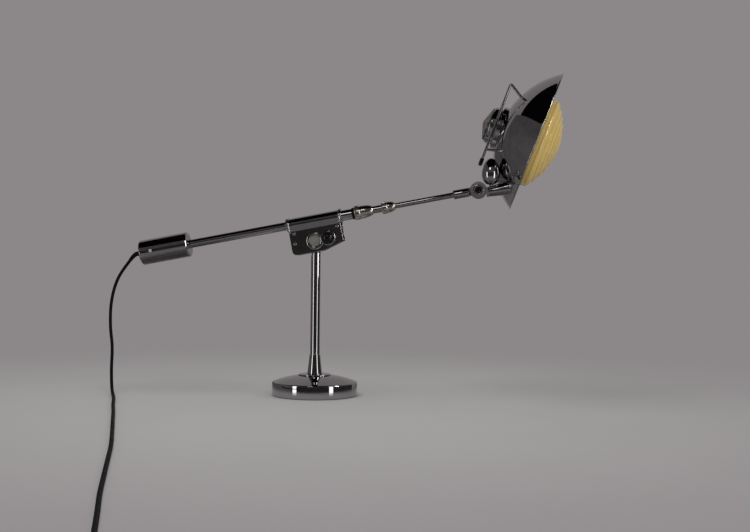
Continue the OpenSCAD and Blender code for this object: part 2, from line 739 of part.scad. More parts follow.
// Gland where the cord leaves the counterweight
module cord_gland() color("Black") on_arm(-weight_reach) turned([
    [cord_r + fit, weight_end - 2*fit], [gland_d/2, weight_end - 2*fit], [gland_d/2, -fit],
    [gland_d/2 + 2*edge, -fit], [gland_d/2 + 2*edge, -edge], [cord_r + 1.2*edge, -gland_lip],
    [cord_r + fit, -gland_lip]]);

// Collet on the end of the arm tube, with slit jaws round the middle tube
module collet_rear() color("DarkGray") on_arm(0) difference() {
    turned([[arm_tube_d/2 + fit, sleeve_front + fit], [collet1_d/2, sleeve_front + fit],
        [collet1_d/2, tube_front + edge], [mid_d/2 + run + jaw1_t, tube_front + edge],
        [mid_d/2 + run + jaw1_t, tube_front + jaw1_len],
        [mid_d/2 + run, tube_front + jaw1_len], [mid_d/2 + run, tube_front + fit],
        [arm_tube_d/2 + fit, tube_front + fit]]);
    translate([0, 0, tube_front + 2*edge]) slits(mid_d, jaw1_len, 2);
}

// First clamp nut: knurled ring and a long taper
module clamp_nut_rear() color("Silver") on_arm(nut1_at) difference() {
    clamp_nut(nut1_d, nut1_ring, nut1_taper, nut1_end_d);
    translate([0, 0, -cut]) {
        cylinder(d = collet1_d + 2*slide, h = tube_front + edge + face - nut1_at + cut);
        cylinder(d = mid_d + 2*run + 2*jaw1_t + 2*face,
            h = tube_front + jaw1_len + face - nut1_at + cut);
        cylinder(d = mid_d + 2*slide + 2*face, h = nut1_ring + nut1_taper + 2*cut);
    }
}
module clamp_nut(d, grip, taper, end_d) turned(concat(
    [[0, 0], [d/2 - edge, 0], [d/2, edge], [d/2, grip - edge], [d/2 - edge, grip]],
    bell([d/2 - 1.6*edge, grip + edge], [end_d/2, grip + taper], 8),
    [[0, grip + taper]]));

// Middle tube of the telescope
module mid_tube() color("Silver") on_arm(mid_rear)
    ring(mid_d, mid_bore, mid_front - mid_rear);

// Collet on the end of the middle tube, with slit jaws round the rod
module collet_front() color("DarkGray") on_arm(0) difference() {
    turned([[mid_d/2 + fit, nut2_at + edge], [collet2_d/2, nut2_at + edge],
        [collet2_d/2, mid_front], [rod_d/2 + run + jaw2_t, mid_front + edge],
        [rod_d/2 + run + jaw2_t, mid_front + jaw2_len],
        [rod_d/2 + run, mid_front + jaw2_len], [rod_d/2 + run, mid_front + fit],
        [mid_d/2 + fit, mid_front + fit]]);
    translate([0, 0, mid_front + 2*edge]) slits(rod_d, jaw2_len, 2);
}

// Second clamp nut
module clamp_nut_front() color("Silver") on_arm(nut2_at) difference() {
    clamp_nut(nut2_d, nut2_ring, nut2_taper, nut2_end_d);
    translate([0, 0, -cut]) {
        cylinder(d = collet2_d + 2*slide, h = mid_front + face - nut2_at + cut);
        translate([0, 0, mid_front + face - nut2_at + cut])
            cylinder(d1 = collet2_d + 2*slide, d2 = rod_d + 2*(run + jaw2_t + face), h = edge);
        cylinder(d = rod_d + 2*(run + jaw2_t + face),
            h = mid_front + jaw2_len + face - nut2_at + cut);
        cylinder(d = rod_d + 2*slide + 2*face, h = nut2_ring + nut2_taper + 2*cut);
    }
}

// Front rod of the telescope
module rod_tube() color("Silver") on_arm(rod_rear)
    ring(rod_d, rod_bore, socket_at + rod_depth - rod_rear);

// Socket on the rod, ending in the knuckle's tongue
module rod_socket() color("Silver") difference() {
    union() {
        on_arm(socket_at) turned([[rod_d/2 + fit, 0], [socket_d/2 - edge, 0],
            [socket_d/2, edge], [socket_d/2, socket_len - edge],
            [socket_d/2 - edge, socket_len], [0, socket_len],
            [0, rod_depth + fit], [rod_d/2 + fit, rod_depth + fit]]);
        at_knuckle() pin_y(tongue_d, -tongue_half, tongue_half);
        at_knuckle() translate([socket_at + socket_len - knuckle_at - 2*edge,
            -tongue_half, edge - socket_d/2])
            cube([knuckle_at - socket_at - socket_len, tongue_t, socket_d - 2*edge]);
    }
    at_knuckle() pin_y(knuckle_bolt_d + 2*run, -knuckle_w, knuckle_w);
}

// Fork of the knuckle: two discs, a bridge and the spigot that the head swivels on
module knuckle_fork() color("Silver") difference() {
    union() {
        at_knuckle() for (m = [0, 1]) mirror([0, m, 0]) facing(-ear_in) turned([
            [0, 0], [knuckle_d/2, 0], [knuckle_d/2, ear_out - ear_in - edge],
            [knuckle_d/2 - edge, ear_out - ear_in], [0, ear_out - ear_in]]);
        on_neck(bridge_from) cylinder(d = neck_d, h = bridge_to - bridge_from);
        on_neck(bridge_from) cylinder(d = neck_spigot_d, h = neck_spigot_to - bridge_from);
    }
    at_knuckle() pin_y(knuckle_bolt_d + 2*fit, -knuckle_w, knuckle_w);
    at_knuckle() pin_y(knuckle_head_d + 2*fit, -knuckle_w, head_sink - ear_out);
}

// Knuckle bolt with a sunk hexagon-socket head
module knuckle_bolt() color("Black") at_knuckle() difference() {
    union() {
        pin_y(knuckle_bolt_d, -ear_out + edge, ear_out + cap_nut_h/2);
        pin_y(knuckle_head_d, -ear_out + edge, head_sink - ear_out - fit);
    }
    facing(edge - ear_out + 2*edge) cylinder(d = knuckle_bolt_d, h = 3*edge, $fn = 6);
}

// Domed nut on the far side of the knuckle
module knuckle_nut() color("Silver") at_knuckle() mirror([0, 1, 0])
    facing(-ear_out - fit) difference() {
        turned([[0, 0], [knuckle_head_d/2, 0], [knuckle_head_d/2, cap_nut_h/2],
            [knuckle_head_d/3, cap_nut_h - edge/2], [0, cap_nut_h]]);
        translate([0, 0, -cut])
            cylinder(d = knuckle_bolt_d + 2*fit, h = cap_nut_h/2 + cut + fit);
    }

// Neck that widens to the bowl and swivels on the knuckle's spigot
module neck() color("Silver") difference() {
    on_neck(neck_from) cylinder(d1 = neck_d, d2 = neck_foot_d + neck_flare, h = neck_length);
    on_neck(neck_from - cut)
        cylinder(d = neck_spigot_d + 2*run, h = neck_spigot_to - neck_from + cut + face);
    at_egg() cylinder(d = egg_stud_d + 2*run, h = neck_d);
    bowl_ball(ball_r + fit);
    at_foot() translate([0, 0, -cut]) cylinder(d = stud_d + 2*fit, h = stud_out + cut + fit);
}

// Stud that holds the neck on the bowl
module neck_stud() color("Gray") at_foot() translate([0, 0, -stud_in])
    cylinder(d = stud_d, h = stud_in + stud_out);

// Hexagon nut on that stud inside the bowl
module neck_nut() color("Silver") at_foot() translate([0, 0, -bowl_t - nut_room - stud_nut_h])
    difference() {
        cylinder(d = 2*stud_d, h = stud_nut_h, $fn = 6);
        translate([0, 0, -cut]) cylinder(d = stud_d + 2*fit, h = stud_nut_h + 2*cut);
    }

// Egg-shaped knob whose stud clamps the neck on its spigot
module egg_knob() color("Silver") at_egg() {
    translate([0, 0, egg_foot])
        cylinder(d = egg_stud_d, h = neck_d/2);
    translate([0, 0, neck_d/2 + 2*edge]) turned(concat([[0, 0]],
        [for (a = [7.5:7.5:172.5])
            [egg_d/2*sin(a)*(1 + egg_swell*cos(a)), egg_h*(1 - cos(a))/2]], [[0, egg_h]]));
}

// Spun bowl with a rolled bead along its rim
module bowl() color("Silver") difference() {
    head_frame() rotate_extrude() bowl_section();
    at_foot() translate([0, 0, -stud_in]) cylinder(d = stud_d + 2*fit, h = stud_in + stud_out);
}
module bowl_section() {
    intersection() {
        translate([0, -ball_front]) difference() {
            circle(ball_r, $fn = 360);
            circle(ball_r - bowl_t, $fn = 360);
        }
        translate([holder_hole_d/2, 0]) square([ball_r, bowl_depth + cut]);
    }
    translate([bowl_d/2 - bead_d/2, 0]) circle(d = bead_d, $fn = 32);
}

// Ring that carries the drum on the bowl's back
module housing_ring() color("Silver") difference() {
    head_frame() turned([[ring_bore/2, ring_front], [ring_d/2, ring_front],
        [ring_d/2, ring_back - 2*edge], [ring_d/2 - edge, ring_back - edge/2],
        [ring_d/2 - 3*edge, ring_back], [ring_bore/2, ring_back]]);
    bowl_ball(ball_r + fit);
}

// Drum with a closed back
module housing_drum() color("Silver") head_frame() turned([
    [drum_d/2 - drum_wall, ring_back + fit], [drum_d/2, ring_back + fit],
    [drum_d/2 - edge/2, drum_back - 3*edge], [drum_d/2 - 3*edge, drum_back],
    [shaft_d/2 + run, drum_back], [shaft_d/2 + run, drum_back - drum_floor],
    [drum_d/2 - 3*edge - drum_wall, drum_back - drum_floor],
    [drum_d/2 - edge/2 - drum_wall, drum_back - 3*edge - drum_floor]]);

// Lobed cone-shaped knob of the rotary switch on the back of the drum
module switch_knob() color("DimGray") head_frame() {
    translate([0, 0, drum_back + 2*face]) intersection() {
        linear_extrude(knob_h) {
            circle(d = knob_d - lobe_d/2);
            for (i = [0:lobes - 1]) rotate(360*i/lobes)
                translate([knob_d/2 - lobe_d/2, 0]) circle(d = lobe_d);
        }
        turned([[0, 0], [knob_d/2, 0], [knob_d/2, knob_rim_h], [knob_tip_d/2, knob_h - edge],
            [knob_tip_d/2 - 2*edge, knob_h], [0, knob_h]]);
    }
    translate([0, 0, ring_back + holder_disc_t + 4*edge])
        cylinder(d = shaft_d, h = drum_len);
}

// Insulated lamp holder with the switch on its back
module lamp_holder() color("Black") head_frame() difference() {
    union() {
        translate([0, 0, holder_front]) cylinder(d = holder_d, h = ring_back - holder_front);
        translate([0, 0, ring_back + fit])
            cylinder(d = drum_d - 2*drum_wall - 2*edge, h = holder_disc_t);
        translate([0, 0, ring_back - edge])
            cylinder(d = switch_d, h = switch_h + holder_disc_t + edge);
    }
    translate([0, 0, holder_front - cut])
        cylinder(d = socket_bore, h = socket_back - holder_front + cut);
    translate([0, 0, ring_back + holder_disc_t + 3*edge])
        cylinder(d = shaft_d + 2*run, h = drum_len);
}

// Screw cap of the bulb
module bulb_cap() color("Goldenrod") head_frame() turned([[0, cap_front],
    [bulb_neck_d/2, cap_front], [cap_d/2, cap_front + edge], [cap_d/2, cap_back - 6*edge],
    [cap_d/4, cap_back - 2*edge], [cap_d/5, cap_back], [0, cap_back]]);

// Bulb
module bulb_glass() color("Ivory") head_frame() turned(concat(
    [[0, cap_front - fit], [bulb_neck_d/2, cap_front - fit]],
    [for (i = [0:glass_steps]) let (a = 60 - 150*i/glass_steps)
        [bulb_d/2*cos(a), bulb_mid + bulb_d/2*sin(a)]]));

// Ribbed glass lens: a short wall and a stepped dome
module lens() color("Gold") head_frame() turned(concat(
    [[lens_d/2 - lens_t, lens_back], [lens_d/2, lens_back]],
    [for (i = [0:lens_ribs*rib_steps])
        let (t = i/(lens_ribs*rib_steps), a = lens_arc_max*(1 - t),
            r = lens_arc_r - rib_h + rib_h*abs(sin(180*t*lens_ribs)))
        [r*sin(a), lens_arc_mid - r*cos(a)]],
    [for (i = [0:glass_steps]) let (a = lens_arc_max*0.96*i/glass_steps,
            r = lens_arc_r - rib_h - lens_t)
        [r*sin(a), lens_arc_mid - r*cos(a)]]));

// Seat ring that holds the lens inside the bowl
module lens_ring() color("Silver") head_frame() turned([
    [lens_d/2 + fit, lens_back - seat_lip], [lens_d/2 + seat_t, lens_back - seat_lip],
    [lens_d/2 + seat_t, lens_back + seat_t], [lens_d/2 - lens_t - seat_t, lens_back + seat_t],
    [lens_d/2 - lens_t - seat_t, lens_back + fit], [lens_d/2 + fit, lens_back + fit]]);

// Posts between the seat ring and the bowl
module lens_posts() color("Silver") intersection() {
    head_frame() for (a = post_angles) rotate(a) translate([lens_d/2 - post_d/2, 0, 0])
        translate([0, 0, lens_back + seat_t + fit]) cylinder(d = post_d, h = bowl_depth);
    bowl_ball(ball_r - bowl_t - fit);
}

// Wire handle beside the drum, with two legs on the bowl
module handle_wire() color("Silver") difference() {
    head_frame() {
        rod(on_grip(upper_foot), on_grip(grip_top), wire_d);
        translate(on_grip(grip_top)) sphere(d = wire_d, $fn = 48);
        rod(on_grip(grip_top), on_grip(grip_end), wire_d);
        rod(on_grip(lower_joint), on_grip(lower_foot), wire_d);
    }
    bowl_ball(ball_r + fit);
}
function on_grip(p) = [p[0], -handle_side, p[1]];

// Black tip on the grip's free end
module handle_tip() color("Black") head_frame() difference() {
    union() {
        rod(on_grip(grip_end + [tip_cover, 0]), on_grip(tip_end), tip_d);
        translate(on_grip(tip_end)) sphere(d = tip_d, $fn = 48);
    }
    rod(on_grip(grip_top), on_grip(grip_end - [fit, 0]), wire_d + 2*fit);
}

// Cord from the gland to its coil
module cord_lead() color("Black") cord(lead_path, cord_d, 10);

// Coil of the spare length
module cord_coil() color("Black") cord(coil_path, cord_d, 6);

// Band round the coil
module coil_tie() color("DarkSlateGray") translate([coil_at[0] + coil_w/2, coil_at[1], 0])
    difference() {
        translate([-tie_half, -tie_w/2, floor_gap])
            cube([2*tie_half, tie_w, layer_z + cord_d + 2*tie_t + face]);
        translate([tie_t - tie_half, -tie_w/2 - cut, floor_gap + tie_t - face/2])
            cube([2*tie_half - 2*tie_t, tie_w + 2*cut, layer_z + cord_d + face]);
    }

// Moulded plug
module plug_body() color("Black") translate(coil_end - [0, fit, 0]) rotate([90, 0, 0]) {
    cylinder(d1 = cord_d + 2, d2 = plug_t/2, h = plug_neck);
    translate([0, plug_t/2, plug_neck]) rotate([90, 0, 0]) linear_extrude(plug_t)
        polygon([[-plug_w/4, 0], [plug_w/4, 0], [plug_w/2, plug_w/3],
            [plug_w/2, plug_len - plug_neck], [-plug_w/2, plug_len - plug_neck],
            [-plug_w/2, plug_w/3]]);
}

// Round pins of the plug
module plug_pins() color("Silver")
    for (s = [-0.5, 0.5]) translate(coil_end + [s*pin_apart, -plug_len - 2*fit, 0])
        rotate([90, 0, 0]) turned([[0, 0], [pin_d/2, 0], [pin_d/2, pin_len - edge],
            [pin_d/2 - edge, pin_len], [0, pin_len]]);

base_pad();
base_weight();
base_shell();
base_flange();
stem_ferrule();
stem_tube();
stem_nut();
swivel_bush();
turret_head();
swivel_screw();
arm_saddle();
sleeve_tube();
saddle_collars();
bracket_rivets();
pivot_bolt();
pivot_cap();
pivot_nut();
friction_washers();
lock_stud();
lock_shoes();
lock_washer();
lock_knob();
arm_tube();
counterweight();
weight_screw();
cord_gland();
collet_rear();
clamp_nut_rear();
mid_tube();
collet_front();
clamp_nut_front();
rod_tube();
rod_socket();
knuckle_fork();
knuckle_bolt();
knuckle_nut();
neck();
neck_stud();
neck_nut();
egg_knob();
bowl();
housing_ring();
housing_drum();
switch_knob();
lamp_holder();
bulb_cap();
bulb_glass();
lens();
lens_ring();
lens_posts();
handle_wire();
handle_tip();
cord_lead();
cord_coil();
coil_tie();
plug_body();
plug_pins();
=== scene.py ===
"""Counterbalanced telescopic lamp: chromed pieces, ribbed glass and a mains lead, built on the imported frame.

Outlines, spans and radii of turned pieces are in millimetres; places, paths and meshes are in metres.
"""

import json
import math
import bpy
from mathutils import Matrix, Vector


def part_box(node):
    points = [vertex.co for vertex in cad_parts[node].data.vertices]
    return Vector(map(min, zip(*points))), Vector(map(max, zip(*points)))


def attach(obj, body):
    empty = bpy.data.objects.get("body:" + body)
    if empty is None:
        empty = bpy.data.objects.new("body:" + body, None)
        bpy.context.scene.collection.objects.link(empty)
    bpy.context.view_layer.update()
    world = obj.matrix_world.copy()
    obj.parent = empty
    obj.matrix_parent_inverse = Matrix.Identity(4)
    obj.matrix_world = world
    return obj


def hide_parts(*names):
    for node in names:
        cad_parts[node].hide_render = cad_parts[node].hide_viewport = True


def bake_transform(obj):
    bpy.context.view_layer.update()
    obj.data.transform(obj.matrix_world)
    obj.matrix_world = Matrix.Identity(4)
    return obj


bl_info = {
    "name": "Counterbalanced Lamp",
    "version": (1, 0, 0),
    "blender": (4, 5, 0),
    "location": "3D View > Sidebar > Lamp",
    "description": "Builds a chromed counterbalanced lamp on its packed frame",
    "category": "Object",
}

import bmesh
import bpy
from bpy.props import FloatProperty, FloatVectorProperty, IntProperty, PointerProperty
from mathutils import Matrix, Vector

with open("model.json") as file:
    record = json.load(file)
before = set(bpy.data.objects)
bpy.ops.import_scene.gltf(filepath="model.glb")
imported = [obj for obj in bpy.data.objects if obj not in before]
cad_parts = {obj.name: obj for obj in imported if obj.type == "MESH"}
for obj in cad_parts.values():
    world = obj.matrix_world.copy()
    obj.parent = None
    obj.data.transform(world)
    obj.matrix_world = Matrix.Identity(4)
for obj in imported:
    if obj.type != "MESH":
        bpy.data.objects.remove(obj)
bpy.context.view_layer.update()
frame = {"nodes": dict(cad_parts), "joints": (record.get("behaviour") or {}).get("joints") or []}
NODES = frame["nodes"]
JOINTS = {joint["name"]: joint for joint in frame["joints"]}

MM = 0.001
ON_AXIS = 1e-6  # mm: a radius below this is on the axis
WELD = 1e-7  # m: points of a shape that are nearer than this become one
CAD_WELD = 1e-6  # m: the same for points of the frame
SHARP = 38  # degrees: edges below this are smooth
TURN_STEPS = 128
EASE_STEPS = 4
MIX_A, MIX_B, MIX_OUT = 6, 7, 2  # a Mix node's sockets for colours

# The camera of the photograph, in the lamp's own frame
CAMERA_AT = Vector((0.324, -2.018, 0.251))
CAMERA_AIM = Vector((-0.1045, 0.9945, -0.0033))
CAMERA_ROLL = math.radians(0.6)
CAMERA_LENS = 52.03  # mm
CAMERA_SENSOR = 36  # mm
CAMERA_REACH = 50  # m: the farthest that it sees

# The lead's route in mm, point by point: down from the weight, along the floor, into its coil
LEAD_DROP = [(-364, 0, 245), (-384, -2, 213), (-394, -6, 172), (-394, -11, 126),
             (-387, -20, 86), (-383, -34, 43), (-372, -62, 14)]
LEAD_RUN = [(-348, -120), (-316, -212), (-282, -307), (-249, -402), (-216, -497),
            (-175, -617), (-138, -734), (-110, -823), (-83, -908), (-57, -985),
            (-33, -1057), (-18, -1104)]
LEAD_Z = 3.2  # height of its middle on the floor
LEAD_STEPS = 8  # points from one knot of the route to the next
COIL_AT = (20, -1140)
COIL_FAR = 38.75  # radius of the outermost turn
COIL_STEP = 7.6  # how much nearer the next turn is
COIL_TURNS = 3
COIL_STEPS = 40  # points of one turn
COIL_CLIMB = 0.5  # turns from the lower layer to the upper one
COIL_LOW = 4.2
COIL_LAYER = 6.5
COIL_TAIL = 34.75  # from the coil to the plug
RELIEF_RIDGES = 7
RELIEF_STEPS = 60

# Rivets of the bracket in mm: along the arm and up from the pivot, at each cheek
RIVETS = [(-37, 20), (-38, 1), (46, 20)]

# Name, colour, roughness clean and marked, scales of the marks and of the grain,
# strength and depth in mm of the relief, tone of the marks, other sockets of the shader
FINISHES = (
    ("Chrome", "chrome", (0.025, 0.07), 16, 40, (0.002, 0.4), 0.9, {"Metallic": 1}),
    ("Nickel", "nickel", (0.14, 0.24), 70, 500, (0.01, 0.2), 0.75, {"Metallic": 1}),
    # Painted reflection: a lighter copy of the chrome plating for the handle wire, for the light that the thin
    # wire catches.
    ("Bright wire", "wire", (0.03, 0.09), 60, 500, (0.01, 0.2), 0.85, {"Metallic": 1}),
    # Painted highlight: the grub screw is painted pale for the bright spot of light on its end.
    ("Zinc", "zinc", (0.35, 0.5), 200, 1200, (0.1, 0.2), 0.75, {"Metallic": 0.3}),
    ("Steel", "steel", (0.28, 0.5), 60, 900, (0.15, 0.2), 0.7, {"Metallic": 1}),
    # Painted shade: the collets are steel, painted near black for the shade in the gaps between the tubes and
    # the clamp nuts, where they show.
    ("Blackened steel", "blackened", (0.35, 0.5), 60, 900, (0.15, 0.2), 1.5, {"Metallic": 1}),
    ("Satin nickel", "satin", (0.3, 0.44), 80, 1200, (0.15, 0.2), 0.75, {"Metallic": 0.7}),
    ("Pivot disc", "disc", (0.42, 0.6), 90, 1400, (0.2, 0.2), 0.75, {}),
    # Real black mouldings, and painted shade on the knuckle screw, which takes this black for the shade in its
    # sunk hole.
    ("Black moulding", "black", (0.06, 0.14), 60, 900, (0.05, 0.1), 1.6, {"Specular IOR Level": 0.35}),
    ("Switch moulding", "knob", (0.5, 0.75), 240, 620, (0.8, 0.6), 0.45, {}),
    ("Yellow glass", "glass", (0.04, 0.12), 30, 240, (0.04, 0.3), 0.92,
     {"Transmission Weight": 0.15, "IOR": 1.5, "Specular IOR Level": 1}),
    ("Opal glass", "opal", (0.12, 0.2), 30, 300, (0.03, 0.1), 0.94, {}),
    ("Brass", "brass", (0.2, 0.36), 80, 600, (0.08, 0.2), 0.75, {"Metallic": 1}),
    # Partly the bush's own bronze, partly painted shade: darkened for the bush's lip, which shows in shadow.
    ("Bronze", "bronze", (0.3, 0.45), 80, 700, (0.1, 0.2), 0.7, {"Metallic": 1}),
    ("Fibre", "fibre", (0.75, 0.9), 200, 1600, (0.4, 0.3), 0.7, {}),
    ("Felt", "felt", (0.9, 1), 300, 2200, (0.8, 0.6), 1.6, {}),
    ("Lead sheath", "rubber", (0.5, 0.62), 50, 1500, (0.1, 0.1), 1.5, {"Specular IOR Level": 0.07}),
)

# Finishes of the inner pieces that stay as the frame has them
INSIDE = {
    "Steel": ("base_weight", "stem_nut", "turret_head", "swivel_screw", "neck_stud", "neck_nut",
              "lens_posts"),
    # Painted shade: near black for the shade in the gaps where the collets show.
    "Blackened steel": ("collet_rear", "collet_front"),
    # Partly the bush's own bronze, partly painted shade: darkened for the bush's lip, which shows in shadow.
    "Bronze": ("swivel_bush", "lock_shoes"),
    "Fibre": ("friction_washers",),
    "Black moulding": ("lamp_holder",),
    "Brass": ("bulb_cap",),
}

# Name, place, aim, width, height, power, seen in polished metal, seen on matt surfaces
LIGHTS = (
    ("Top light", (-0.3, -0.6, 2.4), (0.05, 0, 0.3), 1.8, 1.8, 34, False, True),
    ("Left strip", (-1.2, -1.2, 0.25), (0, 0, 0.25), 0.32, 1.1, 3, True, False),
    ("Right strip", (1.36, -1.02, 0.25), (0, 0, 0.25), 0.32, 1.1, 3, True, False),
    ("Rib light", (1.75, -0.5, 0.88), (0.43, 0, 0.48), 0.2, 1.1, 6, True, False),
    ("Front light", (-0.15, -1.85, 1.47), (0.1, 0, 0.35), 0.5, 0.4, 1.6, True, True),
    ("Front fill", (0.6, -1.8, 0.8), (0.42, 0, 0.5), 0.9, 0.9, 5, False, True),
    ("High light", (1.75, -0.35, 1.4), (0.4, 0, 0.45), 0.5, 0.5, 4, True, True),
)

# Name, colour, scale of the marks, tone of the marks, other sockets of the shader
CARDS = (
    ("Black card", (0.004, 0.004, 0.004), 4, 1.5, {"Specular IOR Level": 0}),
    ("Dim card", (0.06, 0.053, 0.05), 2, 0.8, {}),
    ("Dark card", (0.19, 0.18, 0.182), 2, 0.8, {}),
    ("Ground card", (0.29, 0.28, 0.282), 2, 0.8, {}),
)


def place(origin, axis):
    """Matrix with its Z along an axis through a point, and its X as near to upright as it can be."""
    z = Vector(axis).normalized()
    guide = Vector((0, 0, 1))
    if abs(z.dot(guide)) > 0.99:
        guide = Vector((1, 0, 0))
    x = (guide - z * guide.dot(z)).normalized()
    turn = Matrix((x, z.cross(x), z)).transposed().to_4x4()
    return Matrix.Translation(Vector(origin)) @ turn


def at_joint(name, axis=None):
    """Place of a joint, along its own axis or another one."""
    joint = JOINTS[name]
    return place(joint["pos_m"], axis or joint["axis"])


TOWARDS, AWAY = (0, -1, 0), (0, 1, 0)
STAND = place((0, 0, 0), (0, 0, 1))
ARM = at_joint("rear_nut_turn")
PIVOT = at_joint("arm_tilt", TOWARDS)
LOCK = at_joint("lock_knob_turn", TOWARDS)
KNUCKLE = at_joint("knuckle_tilt", TOWARDS)
EGG = at_joint("egg_knob_turn")
HEAD = at_joint("switch_turn", -Vector(JOINTS["switch_turn"]["axis"]))
ARM_DIR = ARM.to_3x3() @ Vector((0, 0, 1))
ARM_UP = ARM.to_3x3() @ Vector((1, 0, 0))


def span(node, where, keep=None):
    """Lowest and highest point of a CAD node along a place's axis, and least and greatest radius round it."""
    back = where.inverted()
    points = [back @ v.co for v in NODES[node].data.vertices]
    points = [p for p in points if keep is None or keep(p / MM)]
    radii = [math.hypot(p.x, p.y) / MM for p in points]
    heights = [p.z / MM for p in points]
    return min(heights), max(heights), min(radii), max(radii)


def even(start, end, steps):
    """Values from one to another in even steps, both ends among them."""
    return [start + (end - start) * k / steps for k in range(steps + 1)]


def arc(middle, reach, start, end, steps):
    """Points of an outline along an ellipse, from one angle to another in degrees."""
    return [(middle[0] + reach[0] * math.cos(a), middle[1] + reach[1] * math.sin(a))
            for a in map(math.radians, even(start, end, steps))]


def bend(start, corner, end, steps):
    """Points of a curve that leaves one point towards a corner and comes from it to another point."""
    return [start * (1 - t) ** 2 + corner * 2 * t * (1 - t) + end * t * t for t in even(0, 1, steps)]


# Shapes: each is a list of points and a list of faces


def eased(corners, closed):
    """Outline through (radius, height, ease) corners, each rounded over its ease length."""
    outline = []
    for i, corner in enumerate(corners):
        here = Vector(corner[:2])
        ease = corner[2] if len(corner) > 2 else 0
        if not ease or (not closed and i in (0, len(corners) - 1)):
            outline.append(here)
            continue
        before = Vector(corners[i - 1][:2]) - here
        after = Vector(corners[(i + 1) % len(corners)][:2]) - here
        start = here + before.normalized() * min(ease, 0.45 * before.length)
        end = here + after.normalized() * min(ease, 0.45 * after.length)
        outline += bend(start, here, end, EASE_STEPS)
    return outline


def turned(corners, where, steps=TURN_STEPS, lobes=None, flat=False):
    """Turned shape of an outline; lobes gives the radius for an angle, and a flat one stays open."""
    closed = not flat and (corners[0][0] > ON_AXIS or corners[-1][0] > ON_AXIS)
    points, rows, faces = [], [], []
    for r, z in eased(corners, closed):
        if r < ON_AXIS:
            rows.append([len(points)])
            points.append(where @ Vector((0, 0, z * MM)))
            continue
        rows.append(range(len(points), len(points) + steps))
        for s in range(steps):
            a = 2 * math.pi * s / steps
            reach = (lobes(a, r) if lobes else r) * MM
            points.append(where @ Vector((reach * math.cos(a), reach * math.sin(a), z * MM)))
    following = rows[1:] + rows[:1] if closed else rows[1:]
    for low, high in zip(rows, following):
        for s in range(steps):
            e = (s + 1) % steps
            if len(low) == 1:
                faces.append((low[0], high[s], high[e]))
            elif len(high) == 1:
                faces.append((low[s], high[0], low[e]))
            else:
                faces.append((low[s], high[s], high[e], low[e]))
    return points, faces


def pipe(low, high, inner, outer, where, ease):
    """Plain tube with eased ends."""
    return turned([(inner, low), (outer, low, ease), (outer, high, ease), (inner, high)], where)


def path_slopes(path):
    """Unit direction of a path at each of its points."""
    slopes = []
    for i in range(len(path)):
        ahead = (path[min(i + 1, len(path) - 1)] - path[i]).normalized()
        behind = (path[i] - path[max(i - 1, 0)]).normalized()
        slopes.append((ahead + behind).normalized())
    return slopes


def swept(path, radii, sides):
    """Round shape along a path, closed at both ends, with one radius in metres for each point."""
    slopes = path_slopes(path)
    side = slopes[0].orthogonal().normalized()
    points, faces = [], []
    for at, slope, radius in zip(path, slopes, radii):
        side = (side - slope * side.dot(slope)).normalized()
        other = slope.cross(side)
        for s in range(sides):
            a = 2 * math.pi * s / sides
            points.append(at + radius * (math.cos(a) * side + math.sin(a) * other))
    for q in range(0, (len(path) - 1) * sides, sides):
        for s in range(sides):
            e = (s + 1) % sides
            faces.append((q + s, q + e, q + sides + e, q + sides + s))
    last = (len(path) - 1) * sides
    faces.append(tuple(reversed(range(sides))))
    faces.append(tuple(range(last, last + sides)))
    return points, faces


def eased_copy(node, width, angle):
    """Shape of a CAD node with the edges that are sharper than an angle rounded over a width."""
    bm = bmesh.new()
    bm.from_mesh(NODES[node].data)
    bmesh.ops.remove_doubles(bm, verts=bm.verts, dist=CAD_WELD)
    bmesh.ops.dissolve_limit(bm, angle_limit=math.radians(0.5), verts=bm.verts, edges=bm.edges)
    sharp = [e for e in bm.edges if e.is_manifold and e.calc_face_angle(0) > math.radians(angle)]
    bmesh.ops.bevel(bm, geom=sharp, offset=width * MM, offset_type="OFFSET", segments=2, profile=0.5,
                    affect="EDGES", clamp_overlap=True)
    bm.verts.index_update()
    points = [v.co.copy() for v in bm.verts]
    faces = [tuple(v.index for v in f.verts) for f in bm.faces]
    bm.free()
    return points, faces


# Meshes, objects and pieces


def bare_mesh(name, points, faces):
    """Mesh of points and faces as they are."""
    mesh = bpy.data.meshes.new(name)
    mesh.from_pydata(points, [], faces)
    return mesh


def outwards(mesh, weld=0):
    """Turns a mesh's faces outwards, after near points are made one."""
    bm = bmesh.new()
    bm.from_mesh(mesh)
    if weld:
        bmesh.ops.remove_doubles(bm, verts=bm.verts, dist=weld)
    bmesh.ops.recalc_face_normals(bm, faces=bm.faces)
    bm.to_mesh(mesh)
    bm.free()
    return mesh


def mesh_of(name, shapes):
    """Mesh of one or more shapes, merged and with its faces outwards."""
    points, faces = [], []
    for some_points, some_faces in shapes:
        first = len(points)
        points += some_points
        faces += [[i + first for i in face] for face in some_faces]
    return outwards(bare_mesh(name, points, faces), WELD)


def put(name, data):
    """Object of some data, in the scene."""
    thing = bpy.data.objects.new(name, data)
    bpy.context.scene.collection.objects.link(thing)
    return thing


def settled(thing):
    """Plain mesh of an object with its modifiers; the object itself is removed."""
    made = bpy.data.meshes.new_from_object(thing.evaluated_get(bpy.context.evaluated_depsgraph_get()))
    bpy.data.objects.remove(thing)
    return made


def show(name, mesh, look, sharp=SHARP):
    """Object of a finished mesh, smooth up to a sharp angle, in its finish."""
    mesh.shade_smooth()
    mesh.set_sharp_from_angle(angle=math.radians(sharp))
    mesh.materials.clear()
    mesh.materials.append(bpy.data.materials[look])
    return put(name, mesh)


def fit(piece, body, slot, *nodes):
    """Puts a finished piece on its body, in the place of the CAD nodes that it stands for."""
    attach(piece, body)
    if nodes:
        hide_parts(*nodes)
    return piece


